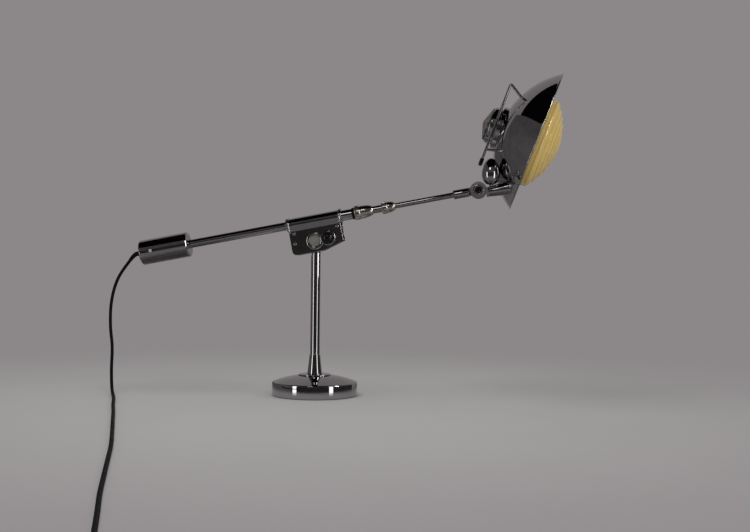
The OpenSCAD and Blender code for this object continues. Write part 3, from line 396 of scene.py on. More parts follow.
def make(name, shapes, body, *nodes, look="Chrome", slot="chrome", sharp=SHARP):
    """A rigid piece of some shapes, on its body."""
    return fit(show(name, mesh_of(name, shapes), look, sharp), body, slot, *nodes)


def lathe(name, corners, where, body, *nodes, steps=TURN_STEPS, lobes=None, **dress):
    """A turned piece, on its body."""
    return make(name, [turned(corners, where, steps, lobes)], body, *nodes, **dress)


def tube(name, node, where, body, ease=0.4):
    """A plain tube with the span of its CAD node."""
    return make(name, [pipe(*span(node, where), where, ease)], body, node)


def soften(name, node, width, body, angle=30, **dress):
    """A piece with the shape of its CAD node and rounded edges."""
    return make(name, [eased_copy(node, width, angle)], body, node, **dress)


# Nodes


def add(tree, kind, **values):
    """New node of a tree; a name with a capital is one of its inputs, and any other one of its settings."""
    node = tree.nodes.new(kind)
    for name, value in values.items():
        if name[0].isupper():
            node.inputs[name.replace("_", " ")].default_value = value
        else:
            setattr(node, name, value)
    return node


def join(tree, *links):
    """Links in a tree, each from a node's output to another node's input."""
    for start, output, end, entry in links:
        tree.links.new(start.outputs[output], end.inputs[entry])


def new_tree(name, kind, inputs, outputs):
    """Node tree with named inputs and outputs."""
    tree = bpy.data.node_groups.new(name, kind)
    for way, sockets in (("INPUT", inputs), ("OUTPUT", outputs)):
        for label, socket in sockets.items():
            tree.interface.new_socket(name=label, in_out=way, socket_type=f"NodeSocket{socket}")
    return tree, add(tree, "NodeGroupInput"), add(tree, "NodeGroupOutput")


def end_tree(tree, given, out, spots, model, aim):
    """Ends a geometry tree: a model on each spot, then Realize Instances and Set Material."""
    spread = add(tree, "GeometryNodeInstanceOnPoints")
    real = add(tree, "GeometryNodeRealizeInstances")
    paint = add(tree, "GeometryNodeSetMaterial")
    join(tree, (*spots, spread, "Points"), (*model, spread, "Instance"),
         (aim, "Rotation", spread, "Rotation"), (spread, "Instances", real, "Geometry"),
         (real, "Geometry", paint, "Geometry"),
         (given, "Finish", paint, "Material"), (paint, "Geometry", out, "Geometry"))


def knurl_tree():
    """Tree of straight ridges round a ring, along its axis."""
    if "Knurled ring" in bpy.data.node_groups:
        return bpy.data.node_groups["Knurled ring"]
    tree, given, out = new_tree(
        "Knurled ring", "GeometryNodeTree",
        {"Ridges": "Int", "Radius": "Float", "Ridge size": "Vector", "Finish": "Material"},
        {"Geometry": "Geometry"})
    ring = add(tree, "GeometryNodeMeshCircle")
    ridge = add(tree, "GeometryNodeMeshCube")
    turn = add(tree, "GeometryNodeTransform", Rotation=(0, 0, math.radians(45)))
    where = add(tree, "GeometryNodeInputPosition")
    aim = add(tree, "FunctionNodeAlignRotationToVector", axis="X", pivot_axis="Z")
    join(tree, (given, "Ridges", ring, "Vertices"), (given, "Radius", ring, "Radius"),
         (given, "Ridge size", ridge, "Size"), (ridge, "Mesh", turn, "Geometry"),
         (where, "Position", aim, "Vector"))
    end_tree(tree, given, out, (ring, "Mesh"), (turn, "Geometry"), aim)
    return tree


def heads_tree():
    """Tree of one fastener's head on each point, turned outwards from the arm's plane."""
    if "Fastener heads" in bpy.data.node_groups:
        return bpy.data.node_groups["Fastener heads"]
    tree, given, out = new_tree(
        "Fastener heads", "GeometryNodeTree",
        {"Points": "Geometry", "Head": "Object", "Finish": "Material"}, {"Geometry": "Geometry"})
    head = add(tree, "GeometryNodeObjectInfo")
    where = add(tree, "GeometryNodeInputPosition")
    split = add(tree, "ShaderNodeSeparateXYZ")
    outward = add(tree, "ShaderNodeCombineXYZ")
    aim = add(tree, "FunctionNodeAlignRotationToVector", axis="Z")
    join(tree, (given, "Head", head, "Object"), (where, "Position", split, "Vector"),
         (split, "Y", outward, "Y"), (outward, "Vector", aim, "Vector"))
    end_tree(tree, given, out, (given, "Points"), (head, "Geometry"), aim)
    return tree


def grown(name, mesh, tree, values, where, look, sharp=SHARP):
    """Plain mesh piece of what a geometry tree makes from some inputs, moved to a place."""
    piece = put(name, mesh)
    nodes = piece.modifiers.new(tree.name, "NODES")
    nodes.node_group = tree
    sockets = {item.name: item.identifier for item in tree.interface.items_tree
               if item.in_out == "INPUT"}
    for label, value in values.items():
        nodes[sockets[label]] = value
    nodes[sockets["Finish"]] = bpy.data.materials[look]
    made = settled(piece)
    if not made.polygons:
        raise RuntimeError(f"the tree {tree.name} made nothing for {name}")
    made.name = name
    made.transform(where)
    return show(name, made, look, sharp)


def marks_group():
    """Shader group of broad handling marks and a fine grain, for every finish."""
    if "Handling marks" in bpy.data.node_groups:
        return bpy.data.node_groups["Handling marks"]
    tree, given, out = new_tree(
        "Handling marks", "ShaderNodeTree",
        {"Vector": "Vector", "Mark scale": "Float", "Grain scale": "Float"},
        {"Marks": "Float", "Grain": "Float"})
    broad = add(tree, "ShaderNodeTexNoise", Detail=5, Roughness=0.62)
    spread = smooth(tree, 0.4, 0.72)
    fine = add(tree, "ShaderNodeTexNoise", Detail=3)
    for noise, label in ((broad, "Mark scale"), (fine, "Grain scale")):
        join(tree, (given, "Vector", noise, "Vector"), (given, label, noise, "Scale"))
    join(tree, (broad, "Fac", spread, "Value"), (spread, "Result", out, "Marks"), (fine, "Fac", out, "Grain"))
    return tree


def smooth(tree, low, high):
    """Node that rises smoothly from 0 to 1 between two values."""
    return add(tree, "ShaderNodeMapRange", interpolation_type="SMOOTHSTEP", From_Min=low, From_Max=high)


def finish(name, colour, rough, marks, grain, relief, worn, plain):
    """Procedural finish: its colour and gloss follow the marks, and its relief follows the grain."""
    material = bpy.data.materials.new(name)
    material.use_nodes = True
    tree = material.node_tree
    shader = tree.nodes["Principled BSDF"]
    coords = add(tree, "ShaderNodeTexCoord")
    group = add(tree, "ShaderNodeGroup", node_tree=marks_group(), Mark_scale=marks, Grain_scale=grain)
    tint = add(tree, "ShaderNodeMix", data_type="RGBA")
    tint.inputs[MIX_A].default_value = (*colour, 1)
    tint.inputs[MIX_B].default_value = (*[c * worn for c in colour], 1)
    gloss = add(tree, "ShaderNodeMapRange", To_Min=rough[0], To_Max=rough[1])
    bump = add(tree, "ShaderNodeBump", Strength=relief[0], Distance=relief[1] * MM)
    join(tree, (coords, "Object", group, "Vector"), (group, "Marks", tint, 0),
         (group, "Marks", gloss, "Value"), (group, "Grain", bump, "Height"),
         (tint, MIX_OUT, shader, "Base Color"), (gloss, "Result", shader, "Roughness"),
         (bump, "Normal", shader, "Normal"))
    for socket, value in plain.items():
        shader.inputs[socket].default_value = value
    return material


# Sizes and colours


def length(name, description, default, low, high):
    """A size that a user may change, given in millimetres."""
    return FloatProperty(name=name, description=description, default=default * MM, min=low * MM,
                         max=high * MM, subtype="DISTANCE", unit="LENGTH")


def count(name, description, default, low, high):
    """A number of forms that a user may change."""
    return IntProperty(name=name, description=description, default=default, min=low, max=high)


def colour(name, description, default):
    """A colour that a user may change."""
    return FloatVectorProperty(name=name, description=description, default=default, size=3,
                               min=0, max=1, subtype="COLOR")


class LampSizes(bpy.types.PropertyGroup):
    """Sizes of the lamp's details; its main sizes come from the frame."""

    cord_diameter: length("Lead diameter", "Thickness of the mains lead", 6, 4, 8)
    relief_length: length("Strain relief", "Length of the sleeve on the lead", 26, 20, 60)
    edge_ease: length("Edge rounding", "Rounding of turned edges", 0.6, 0.2, 1.5)
    sheet_ease: length("Sheet rounding", "Rounding of sheet metal edges", 0.7, 0.2, 1.2)
    ridge_depth: length("Ridge depth", "Width and depth of a knurled ridge", 0.9, 0.3, 1.5)
    rear_ridges: count("Rear ridges", "Ridges round the first clamp nut", 40, 12, 80)
    front_ridges: count("Front ridges", "Ridges round the second clamp nut", 34, 12, 80)
    lens_ribs: count("Lens ribs", "Round ribs of the glass lens", 7, 5, 16)
    lobes: count("Switch lobes", "Lobes round the switch knob", 12, 6, 18)


class LampColours(bpy.types.PropertyGroup):
    """Colours of the lamp's finishes and of its stage."""

    chrome: colour("Chrome", "Bright plating", (0.43, 0.42, 0.425))
    nickel: colour("Nickel", "Warmer plating of the clamp nuts and the small fittings", (0.62, 0.59, 0.54))
    steel: colour("Steel", "Bare machined steel", (0.42, 0.42, 0.42))
    # Painted reflection: lighter than the chrome, for the light that the thin wire catches.
    wire: colour("Wire", "Bright plating of the wire handle", (0.55, 0.54, 0.54))
    # Painted highlight: the grub screw is painted pale for the bright spot of light on its end.
    zinc: colour("Zinc", "Pale plating of the grub screw", (0.58, 0.57, 0.56))
    # Painted shade: near black for the shade in the gaps between the tubes and the clamp nuts, where the
    # collets show.
    blackened: colour("Blackened steel", "Oiled black steel of the collets", (0.02, 0.02, 0.02))
    satin: colour("Satin nickel", "Dulled plating of the knuckle", (0.24, 0.222, 0.205))
    disc: colour("Pivot disc", "Matt centre of the pivot cap", (0.175, 0.165, 0.14))
    # Also painted shade: the knuckle screw takes this black for the shade in its sunk hole.
    black: colour("Black", "Moulded black knobs and tips", (0.004, 0.004, 0.005))
    knob: colour("Switch knob", "Rough grey-brown switch knob", (0.105, 0.097, 0.09))
    glass: colour("Glass", "Yellow pressed glass", (1, 0.73, 0.24))
    # Painted shade: the darker tone of the lens in the grooves between its ribs and rings.
    groove: colour("Glass grooves", "Yellow glass between the ribs", (0.6, 0.36, 0.06))
    opal: colour("Bulb", "Opal bulb", (0.86, 0.84, 0.78))
    brass: colour("Brass", "Screw cap of the bulb", (0.72, 0.54, 0.26))
    # Partly the bush's own bronze, partly painted shade: darkened for the bush's lip, which shows in shadow.
    bronze: colour("Bronze", "Oiled bush and lock shoes", (0.15, 0.115, 0.08))
    fibre: colour("Fibre", "Friction washers", (0.16, 0.07, 0.035))
    felt: colour("Felt", "Pad under the base", (0.025, 0.027, 0.03))
    rubber: colour("Lead", "Sheath of the mains lead", (0.004, 0.004, 0.0045))
    floor: colour("Floor", "Pale floor", (0.345, 0.332, 0.332))
    backdrop: colour("Backdrop", "Plain backdrop", (0.262, 0.244, 0.249))


def sizes():
    """The scene's sizes of details."""
    return bpy.context.scene.lamp_sizes


def edge_ease():
    """Rounding of turned edges in millimetres."""
    return sizes().edge_ease / MM


def colours():
    """The scene's colours."""
    return bpy.context.scene.lamp_colours


class LAMP_OT_finishes(bpy.types.Operator):
    """Make the finishes of all pieces"""

    bl_idname = "lamp.finishes"
    bl_label = "Finishes"

    def execute(self, context):
        for name, tone, *look in FINISHES:
            finish(name, getattr(colours(), tone), *look)
        # Painted shade in the grooves of the lens.
        self.paint_groove_shade(bpy.data.materials["Yellow glass"], colours().groove)
        return {"FINISHED"}

    def paint_groove_shade(self, glass, tone):
        """Painted shade: a deeper tone in the grooves between the ribs and in the rings of the wall."""
        tree = glass.node_tree
        shader = tree.nodes["Principled BSDF"]
        tint = shader.inputs["Base Color"].links[0].from_node
        rib = add(tree, "ShaderNodeAttribute", attribute_name="groove")
        mix = add(tree, "ShaderNodeMix", data_type="RGBA")
        mix.inputs[MIX_B].default_value = (*tone, 1)
        join(tree, (rib, "Fac", mix, 0), (tint, MIX_OUT, mix, MIX_A), (mix, MIX_OUT, shader, "Base Color"))


class LAMP_OT_camera(bpy.types.Operator):
    """Set the camera as the photograph was taken"""

    bl_idname = "lamp.camera"
    bl_label = "Camera"

    def execute(self, context):
        lens = bpy.data.cameras.new("Camera")
        lens.lens = CAMERA_LENS
        lens.sensor_width = CAMERA_SENSOR
        lens.clip_end = CAMERA_REACH
        camera = put("Camera", lens)
        turn = CAMERA_AIM.to_track_quat("-Z", "Y").to_matrix() @ Matrix.Rotation(CAMERA_ROLL, 3, "Z")
        camera.matrix_world = Matrix.Translation(CAMERA_AT) @ turn.to_4x4()
        context.scene.camera = camera
        return {"FINISHED"}


def hermite(a, b, slope_a, slope_b, t):
    """Point between two knots of a smooth path, from its directions at both."""
    chord = (b - a).length
    t2, t3 = t * t, t * t * t
    return (a * (2 * t3 - 3 * t2 + 1) + slope_a * chord * (t3 - 2 * t2 + t)
            + b * (3 * t2 - 2 * t3) + slope_b * chord * (t3 - t2))


def coil_point(turn):
    """Point of the coil after some turns: inwards, up half a turn, and outwards again."""
    inward = (COIL_TURNS - COIL_CLIMB) / 2
    lift = min(max((turn - inward) / COIL_CLIMB, 0), 1)
    r = COIL_FAR - COIL_STEP * min(turn, inward) + COIL_STEP * max(turn - inward - COIL_CLIMB, 0)
    a = math.pi + 2 * math.pi * turn
    return MM * Vector((COIL_AT[0] + r * math.cos(a), COIL_AT[1] + r * math.sin(a),
                        COIL_LOW + COIL_LAYER * lift))


def lead_path(exit_at, width):
    """The lead from its exit to the plug: hanging, lying on the floor, then wound."""
    wound = [coil_point(turn) for turn in even(0, COIL_TURNS, COIL_STEPS * COIL_TURNS)]
    into = wound[0] + Vector((0, width, 0))
    knots = [exit_at, exit_at - width * ARM_DIR]
    knots += [MM * Vector(p) for p in LEAD_DROP]
    knots += [MM * Vector((x, y, LEAD_Z)) for x, y in LEAD_RUN]
    knots += [into + Vector((0, width, 0)), into]
    slopes = path_slopes(knots)
    path = [exit_at]
    for a, b, slope_a, slope_b in zip(knots, knots[1:], slopes, slopes[1:]):
        for t in even(0, 1, LEAD_STEPS)[1:]:
            at = hermite(a, b, slope_a, slope_b, t)
            at.z = max(at.z, LEAD_Z * MM)
            path.append(at)
    tail = wound[-1] - Vector((0, COIL_TAIL * MM, 0))
    return path + wound + [wound[-1].lerp(tail, t) for t in even(0, 1, 4)[1:]]


def path_length(path):
    """Length of a path."""
    return sum((b - a).length for a, b in zip(path, path[1:]))


def stretch(path, wanted):
    """The first points of a path, up to the one that reaches a wanted length."""
    taken, gone = [path[0]], 0
    for a, b in zip(path, path[1:]):
        gone += (b - a).length
        taken.append(b)
        if gone >= wanted:
            break
    return taken


def along(path, wanted):
    """Point of a path at a distance from its start."""
    gone = 0
    for a, b in zip(path, path[1:]):
        step = (b - a).length
        if gone + step >= wanted:
            return a.lerp(b, (wanted - gone) / step)
        gone += step
    return path[-1].copy()


class LAMP_OT_lead(bpy.types.Operator):
    """Make the mains lead with its strain relief, tie and plug"""

    bl_idname = "lamp.lead"
    bl_label = "Mains lead"

    def execute(self, context):
        s = sizes()
        radius = s.cord_diameter / 2
        exit_at = ARM @ Vector((0, 0, (span("cord_gland", ARM)[0] - 0.2) * MM))
        path = lead_path(exit_at, s.cord_diameter)
        mesh = mesh_of("mains_lead", [swept(path, [radius] * len(path), 14)])
        lead = show("mains_lead", mesh, "Lead sheath", 60)
        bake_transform(lead)
        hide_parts("cord_lead", "cord_coil")
        relief = self.relief(exit_at, path, radius, s.relief_length)
        tie = soften("lead_tie", "coil_tie", 0.35, "turret", look="Felt", slot="cord_rubber")
        plug = soften("plug_moulding", "plug_body", 1.8, "turret", angle=25, look="Lead sheath",
                      slot="cord_rubber", sharp=45)
        pins = soften("plug_contacts", "plug_pins", 0.3, "turret", look="Nickel", slot="pin_metal")
        return {"FINISHED"}

    def relief(self, exit_at, path, radius, reach):
        """Ribbed sleeve that tapers along the lead, out of the counterweight."""
        root = ARM @ Vector((0, 0, (span("counterweight", ARM)[0] + 2) * MM))
        way = [root, root.lerp(exit_at, 0.5)] + stretch(path, reach - 5 * MM)
        total = path_length(way)
        taper, skin, ridge = 1.5, 0.25, 0.3
        fine, radii = [], []
        for t in even(0, 1, RELIEF_STEPS):
            fine.append(along(way, t * total))
            proud = ridge * max(0, math.cos(2 * math.pi * RELIEF_RIDGES * t)) * (0.12 < t < 0.9)
            radii.append(radius + MM * (taper * (1 - t) + skin + proud))
        return make("lead_relief", [swept(fine, radii, 24)], "arm", "cord_gland", look="Lead sheath",
                    slot="cord_rubber", sharp=50)


class LAMP_OT_base(bpy.types.Operator):
    """Make the base, its ferrule and the stem"""

    bl_idname = "lamp.base"
    bl_label = "Base and stem"

    def execute(self, context):
        ease = edge_ease()
        low, high, hole, rim = span("base_shell", STAND)
        wall = span("base_shell", STAND, lambda p: math.hypot(p.x, p.y) > 0.999 * rim)[1] + 2
        sheet, crown = 1.5, 1.6
        flange_low, flange_high, bore, flange_r = span("base_flange", STAND)
        dome = [(rim + (flange_r - rim) * t, wall + (high - wall) * t + 4 * crown * t * (1 - t))
                for t in even(0, 1, 12)[1:-1]]
        lathe("base_cover", [
            (rim - sheet, low), (rim, low, 1.6 * ease), (rim, wall, 3.5 * ease), *dome, (flange_r, high),
            (hole, high), (hole, high - sheet), (flange_r, high - sheet), (rim - 3, wall - sheet),
            (rim - sheet, wall - 3)], STAND, "base", "base_shell", steps=192)
        lathe("foot_disc", [
            (bore, flange_low), (flange_r, flange_low, ease), (flange_r, flange_high - ease, 2 * ease),
            (flange_r - 3, flange_high, 2 * ease), (bore, flange_high)],
            STAND, "base", "base_flange", steps=160)
        low, high, bore, foot = span("stem_ferrule", STAND)
        top = span("stem_ferrule", STAND, lambda p: p.z > high - 0.6)[3]
        waist = (foot * 0.42 + top * 0.58, low + (high - low) * 0.52, 12)
        lathe("stem_cone", [
            (bore, low), (foot, low, ease), (foot, low + 2.4, 1.6), waist, (top, high - 2, 2),
            (top - 0.2, high, ease), (bore, high)], STAND, "base", "stem_ferrule")
        tube("stem", "stem_tube", STAND, "base")
        low, high, _, outer = span("base_pad", STAND)
        lathe("foot_pad", [(0, low), (outer, low, ease), (outer, high, ease), (0, high)], STAND, "base",
              "base_pad", look="Felt", slot="felt")
        return {"FINISHED"}


class LAMP_OT_bracket(bpy.types.Operator):
    """Make the folded bracket with its sleeve, collars and rivets"""

    bl_idname = "lamp.bracket"
    bl_label = "Bracket"

    def execute(self, context):
        self.fold()
        tube("sleeve", "sleeve_tube", ARM, "arm", edge_ease())
        make("sleeve_collars", [
            pipe(*span("saddle_collars", ARM, keep), ARM, 1.2 * edge_ease())
            for keep in (lambda p: p.z > 0, lambda p: p.z < 0)], "arm", "saddle_collars")
        self.rivets()
        return {"FINISHED"}

    def fold(self):
        """Sheet folded over the sleeve: a strap that leans in below it, and two cheeks.

        Its points are along the arm, across it and up from the pivot, in millimetres.
        """
        frame_at = Matrix.Translation(PIVOT.translation) @ Matrix(
            (ARM_DIR, Vector((0, 1, 0)), ARM_UP)).transposed().to_4x4()
        back = frame_at.inverted()
        points = [(back @ v.co) / MM for v in NODES["arm_saddle"].data.vertices]
        rear, front = min(p.x for p in points), max(p.x for p in points)
        half = max(p.y for p in points)
        drop = -min(p.z for p in points)
        rise = (back @ ARM.translation).z / MM
        corner, toe_from, toe_to, toe_drop = 9, 11, front - 2, 9
        proud, top, waist = half + 2.2, 12.2, rise - 14.5
        foot, head = Vector((half + 0.2, waist + 1.2)), Vector((proud - 0.2, rise - 2.2))
        flank = [Vector((half, waist - 1.5)), Vector((half + 0.03, waist - 0.4))]
        flank += [foot.lerp(head, t) for t in (0, 0.06, 0.2, 0.4, 0.6, 0.8, 0.94, 1)]
        strap = flank + arc((0, rise), (proud, top), 0, 180, 32) + [(-y, z) for y, z in reversed(flank)]
        stations = [rear + corner * (1 - math.cos(a)) for a in even(0, math.pi / 2, 12)]
        stations += even(rear + corner, toe_from, 8)[1:] + even(toe_from, toe_to, 8)[1:] + [front]

        def lower(u):
            """Lower edge of a cheek: rounded at the rear, straight, and rising to the toe."""
            if u < rear + corner:
                return -drop + corner - math.sqrt(max(0, corner ** 2 - (rear + corner - u) ** 2))
            if u < toe_from:
                return -drop
            return -drop + (drop - toe_drop) * min((u - toe_from) / (toe_to - toe_from), 1.15)

        rows, verts = [], []
        for u in stations:
            cheek = even(lower(u), flank[0][1], 8)[:-1]
            row = [(u, half, z) for z in cheek] + [(u, y, z) for y, z in strap]
            row += [(u, -half, z) for z in reversed(cheek)]
            rows.append(range(len(verts), len(verts) + len(row)))
            verts += [frame_at @ (MM * Vector(p)) for p in row]
        faces = [(a[i], b[i], b[i + 1], a[i + 1]) for a, b in zip(rows, rows[1:])
                 for i in range(len(a) - 1)]
        self.beads(frame_at, rear, front, half, lower(front), strap)
        mesh = bare_mesh("bracket_fold", verts, faces)
        sheet = put("bracket_fold", mesh)
        wall = sheet.modifiers.new("Sheet", "SOLIDIFY")
        wall.thickness = 2 * MM
        outward = mesh.polygons[len(mesh.polygons) // 2].normal.dot(ARM_UP)
        wall.offset = -1 if outward > 0 else 1
        soft = sheet.modifiers.new("Edges", "BEVEL")
        soft.width = sizes().sheet_ease
        soft.segments = 3
        soft.limit_method = "ANGLE"
        soft.angle_limit = math.radians(40)
        fit(show("bracket", outwards(settled(sheet)), "Chrome"), "arm", "chrome", "arm_saddle")

    def beads(self, frame_at, rear, front, half, toe, strap):
        """Rolled beads round both ends of the strap, the front one down the edges of the cheeks too."""
        thick, thin = 1.6 * MM, 1.1 * MM
        over = [Vector(p) for p in strap]
        edge = [Vector((half - 0.3, z)) for z in even(toe, over[0].y, 12)[:-1]]
        other = [Vector((-p.x, p.y)) for p in reversed(edge)]
        shapes = []
        for u, outline in ((front - 0.7, edge + over + other), (rear + 1, over)):
            path = [frame_at @ (MM * Vector((u, p.x, p.y))) for p in outline]
            radii = [thick if p.y > over[2].y else thin for p in outline]
            shapes.append(swept(path, radii, 16))
        make("bracket_beads", shapes, "arm", sharp=60)

    def rivets(self):
        """Domed rivet heads on both cheeks."""
        half = abs(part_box("bracket_rivets")[0].y)
        head = bpy.data.objects.new("rivet_head", mesh_of("rivet_head", [turned(
            [(0, -1.6), (3, -1.6), (3, -1, 0.3), (2, -0.2, 0.8), (0, 0)], STAND, 32)]))
        points = [PIVOT.translation + MM * (u * ARM_DIR + w * ARM_UP) + Vector((0, side * half, 0))
                  for u, w in RIVETS for side in (-1, 1)]
        spots = bare_mesh("rivet_spots", points, [])
        piece = grown("rivets", spots, heads_tree(), {"Head": head}, Matrix.Identity(4), "Chrome")
        bpy.data.objects.remove(head)
        fit(piece, "arm", "chrome", "bracket_rivets")


class LAMP_OT_pivot(bpy.types.Operator):
    """Make the dished pivot cap, the pivot nut and the tilt lock"""

    bl_idname = "lamp.pivot"
    bl_label = "Pivot and lock"

    def execute(self, context):
        ease = edge_ease()
        low, high, _, outer = span("pivot_cap", PIVOT)
        floor = low + 2.6
        recess = span("pivot_cap", PIVOT, lambda p: p.z > high - 0.1)[2] - 1.6
        bead = arc(((recess + outer) / 2, floor), ((recess - outer) / 2, high - floor), 0, 180, 16)
        lathe("pivot_dish", [(0, floor), *bead, (outer, low), (0, low)],
              PIVOT, "arm", "pivot_cap", "pivot_bolt")
        lathe("pivot_disc", [
            (0, floor), (recess - 0.2, floor), (recess - 0.2, floor + 0.5, 0.3), (recess * 0.5, floor + 0.7),
            (0, floor + 0.75)], PIVOT, "arm", look="Pivot disc", slot="satin_steel")
        far = place(PIVOT.translation, AWAY)
        low, high, bore, outer = span("pivot_nut", far)
        lathe("pivot_lock_nut", [
            (0, low), (outer, low, ease), (outer, high - 1, ease), (outer - 1.4, high, ease),
            (bore + 1, high, ease), (bore, high - 1), (0, high - 0.8)], far, "arm", "pivot_nut")
        low, high, bore, outer = span("lock_washer", LOCK)
        boss = span("lock_washer", LOCK, lambda p: p.z < low + 0.1)[3]
        lathe("lock_flange", [
            (bore, low), (boss, low), (boss, high - 2), (outer, high - 2, 0.5 * ease),
            (outer, high - 1, ease), (outer - 1.2, high, ease), (bore, high)], LOCK, "arm", "lock_washer")
        low, high, _, outer = span("lock_knob", LOCK)
        skirt = low + (high - low) / 3
        lathe("lock_grip", [
            (0, low), (outer - 2, low, ease), (outer - 0.3, low + 1.8, 1.5),
            *arc((0, skirt), (outer, high - skirt), 0, 90, 20)],
            LOCK, "lock_knob", "lock_knob", look="Black moulding", slot="black_knob")
        far = place(LOCK.translation, AWAY)
        high = span("lock_stud", far)[1]
        outer = span("lock_stud", far, lambda p: p.z > high - 1)[3]
        lathe("lock_stud_head", [
            (0, high - 4), (outer, high - 4), (outer, high - 1, ease), (outer - 1.2, high, ease),
            (2.2, high, 0.3), (2, high - 1.4), (0, high - 1.4)],
            far, "arm", "lock_stud", look="Nickel", slot="satin_steel")
        return {"FINISHED"}


class LAMP_OT_arm(bpy.types.Operator):
    """Make the arm tube and the counterweight"""

    bl_idname = "lamp.arm"
    bl_label = "Arm and counterweight"

    def execute(self, context):
        ease = edge_ease()
        tube("arm", "arm_tube", ARM, "arm")
        low, high, hole, outer = span("counterweight", ARM)
        cut, bore, floor = 2, 8.05, low + 11
        lathe("balance_weight", [
            (hole, low), (outer - cut, low, ease), (outer, low + cut, ease), (outer, high - cut, ease),
            (outer - cut, high, ease), (bore + 0.15, high, ease), (bore, high - 2), (bore, floor),
            (hole, floor)], ARM, "arm", "counterweight", steps=160)
        screw_low, screw_high, *_ = span("weight_screw", ARM)
        side = place(ARM @ Vector((0, 0, (screw_low + screw_high) / 2 * MM)), TOWARDS)
        # Painted highlight: the grub screw's pale finish stands for the bright spot of light on its end.
        lathe("weight_grub", [
            (0, outer - 0.4), (0.9, outer - 0.3, 0.2), (1.3, outer + 0.5, 0.3), (3, outer + 0.1, 0.2),
            (3.1, outer - 1), (0, outer - 1.2)],
            side, "arm", "weight_screw", steps=48, look="Zinc", slot="satin_steel")
        lathe("lead_ring", [
            (5, low), (7.4, low, 0.2), (7.4, low - 0.8, 0.6), (6, low - 1.8, 0.6), (5, low - 1.4)],
            ARM, "arm", steps=64, look="Nickel")
        return {"FINISHED"}


def bell(start, end):
    """Bell-shaped curve from one point of an outline to another."""
    steps, turn = 14, math.radians(75)
    return [(end[0] + (start[0] - end[0]) * (math.cos(a) - math.cos(turn)) / (1 - math.cos(turn)),
             start[1] + (end[1] - start[1]) * math.sin(a) / math.sin(turn))
            for a in even(0, turn, steps)[1:]]


class LAMP_OT_telescope(bpy.types.Operator):
    """Make the clamp nuts, the middle tube and the front rod"""

    bl_idname = "lamp.telescope"
    bl_label = "Telescope"

    def execute(self, context):
        self.nut("rear_nut", "clamp_nut_rear", sizes().rear_ridges)
        self.nut("front_nut", "clamp_nut_front", sizes().front_ridges)
        tube("middle_tube", "mid_tube", ARM, "middle")
        tube("front_rod", "rod_tube", ARM, "rod")
        return {"FINISHED"}

    def nut(self, body, node, ridges):
        """Clamp nut with a knurled ring and a bell-shaped end."""
        ease, ridge = edge_ease(), sizes().ridge_depth
        low, high, bore, outer = span(node, ARM)
        end = span(node, ARM, lambda p: p.z > high - 0.1)[3]
        ring = 11
        start = (outer - 0.5, low + ring + 1)
        lathe(f"{body}_bell", [
            (bore, low), (outer - 1, low, ease), (outer, low + 1, ease), (outer, low + ring - 1, ease),
            (outer - 1, low + ring, ease), start, *bell(start, (end, high)), (bore, high, 0.2)],
            ARM, body, node, look="Nickel")
        where = ARM @ Matrix.Translation((0, 0, (low + ring / 2) * MM))
        values = {"Ridges": ridges, "Radius": (outer - 0.25) * MM,
                  "Ridge size": (ridge, ridge, (ring - 3) * MM)}
        blank = bpy.data.meshes.new(f"{body}_knurl")
        fit(grown(f"{body}_knurl", blank, knurl_tree(), values, where, "Nickel", 20), body, "chrome")


class LAMP_OT_knuckle(bpy.types.Operator):
    """Make the knuckle, the neck and the egg-shaped clamp knob"""

    bl_idname = "lamp.knuckle"
    bl_label = "Knuckle and neck"

    def execute(self, context):
        ease = edge_ease()
        soften("rod_end", "rod_socket", ease, "rod")
        soften("knuckle", "knuckle_fork", 2 * ease, "knuckle", look="Satin nickel")
        self.rosette()
        # Painted shade: the steel screw takes the black finish, for the shade in its sunk hole.
        soften("knuckle_screw", "knuckle_bolt", 0.3, "knuckle", look="Black moulding", slot="satin_steel")
        far = place(KNUCKLE.translation, AWAY)
        low, high, _, outer = span("knuckle_nut", far)
        tall = high - low
        lathe("knuckle_cap", [
            (0, low), (outer, low, ease), *arc((0, low + 0.45 * tall), (outer, 0.55 * tall), 0, 90, 12)],
            far, "knuckle", "knuckle_nut", steps=64)
        soften("neck_cone", "neck", ease, "head")
        foot, stalk = span("egg_knob", EGG)[0], 3
        low, high, _, outer = span("egg_knob", EGG, lambda p: p.z > 11)
        tall = high - low
        fuller, blunt, lean = 1.035, 0.9, 0.16
        egg = [(outer * fuller * math.sin(a) ** blunt * (1 + lean * math.cos(a)),
                low + tall * (1 - math.cos(a)) / 2) for a in even(0, math.pi, 48)[1:-1]]
        egg = [p for p in egg if p[0] > stalk or p[1] > low + tall / 2]
        lathe("neck_grip", [(0, foot), (stalk, foot), (stalk, egg[0][1]), *egg, (0, high)],
              EGG, "egg_knob", "egg_knob")
        return {"FINISHED"}

    def rosette(self):
        """Thin bright ring round the sunk screw."""
        face = span("knuckle_fork", KNUCKLE)[1]
        hole = span("knuckle_bolt", KNUCKLE, lambda p: p.z > 0)[3]
        lathe("knuckle_rosette", [
            (hole + 0.5, face - 0.2), (hole + 0.5, face + 0.3, 0.3), (hole + 2, face + 0.5, 0.5),
            (hole + 3.2, face + 0.15, 0.3), (hole + 3.4, face - 0.2)], KNUCKLE, "knuckle", steps=96)


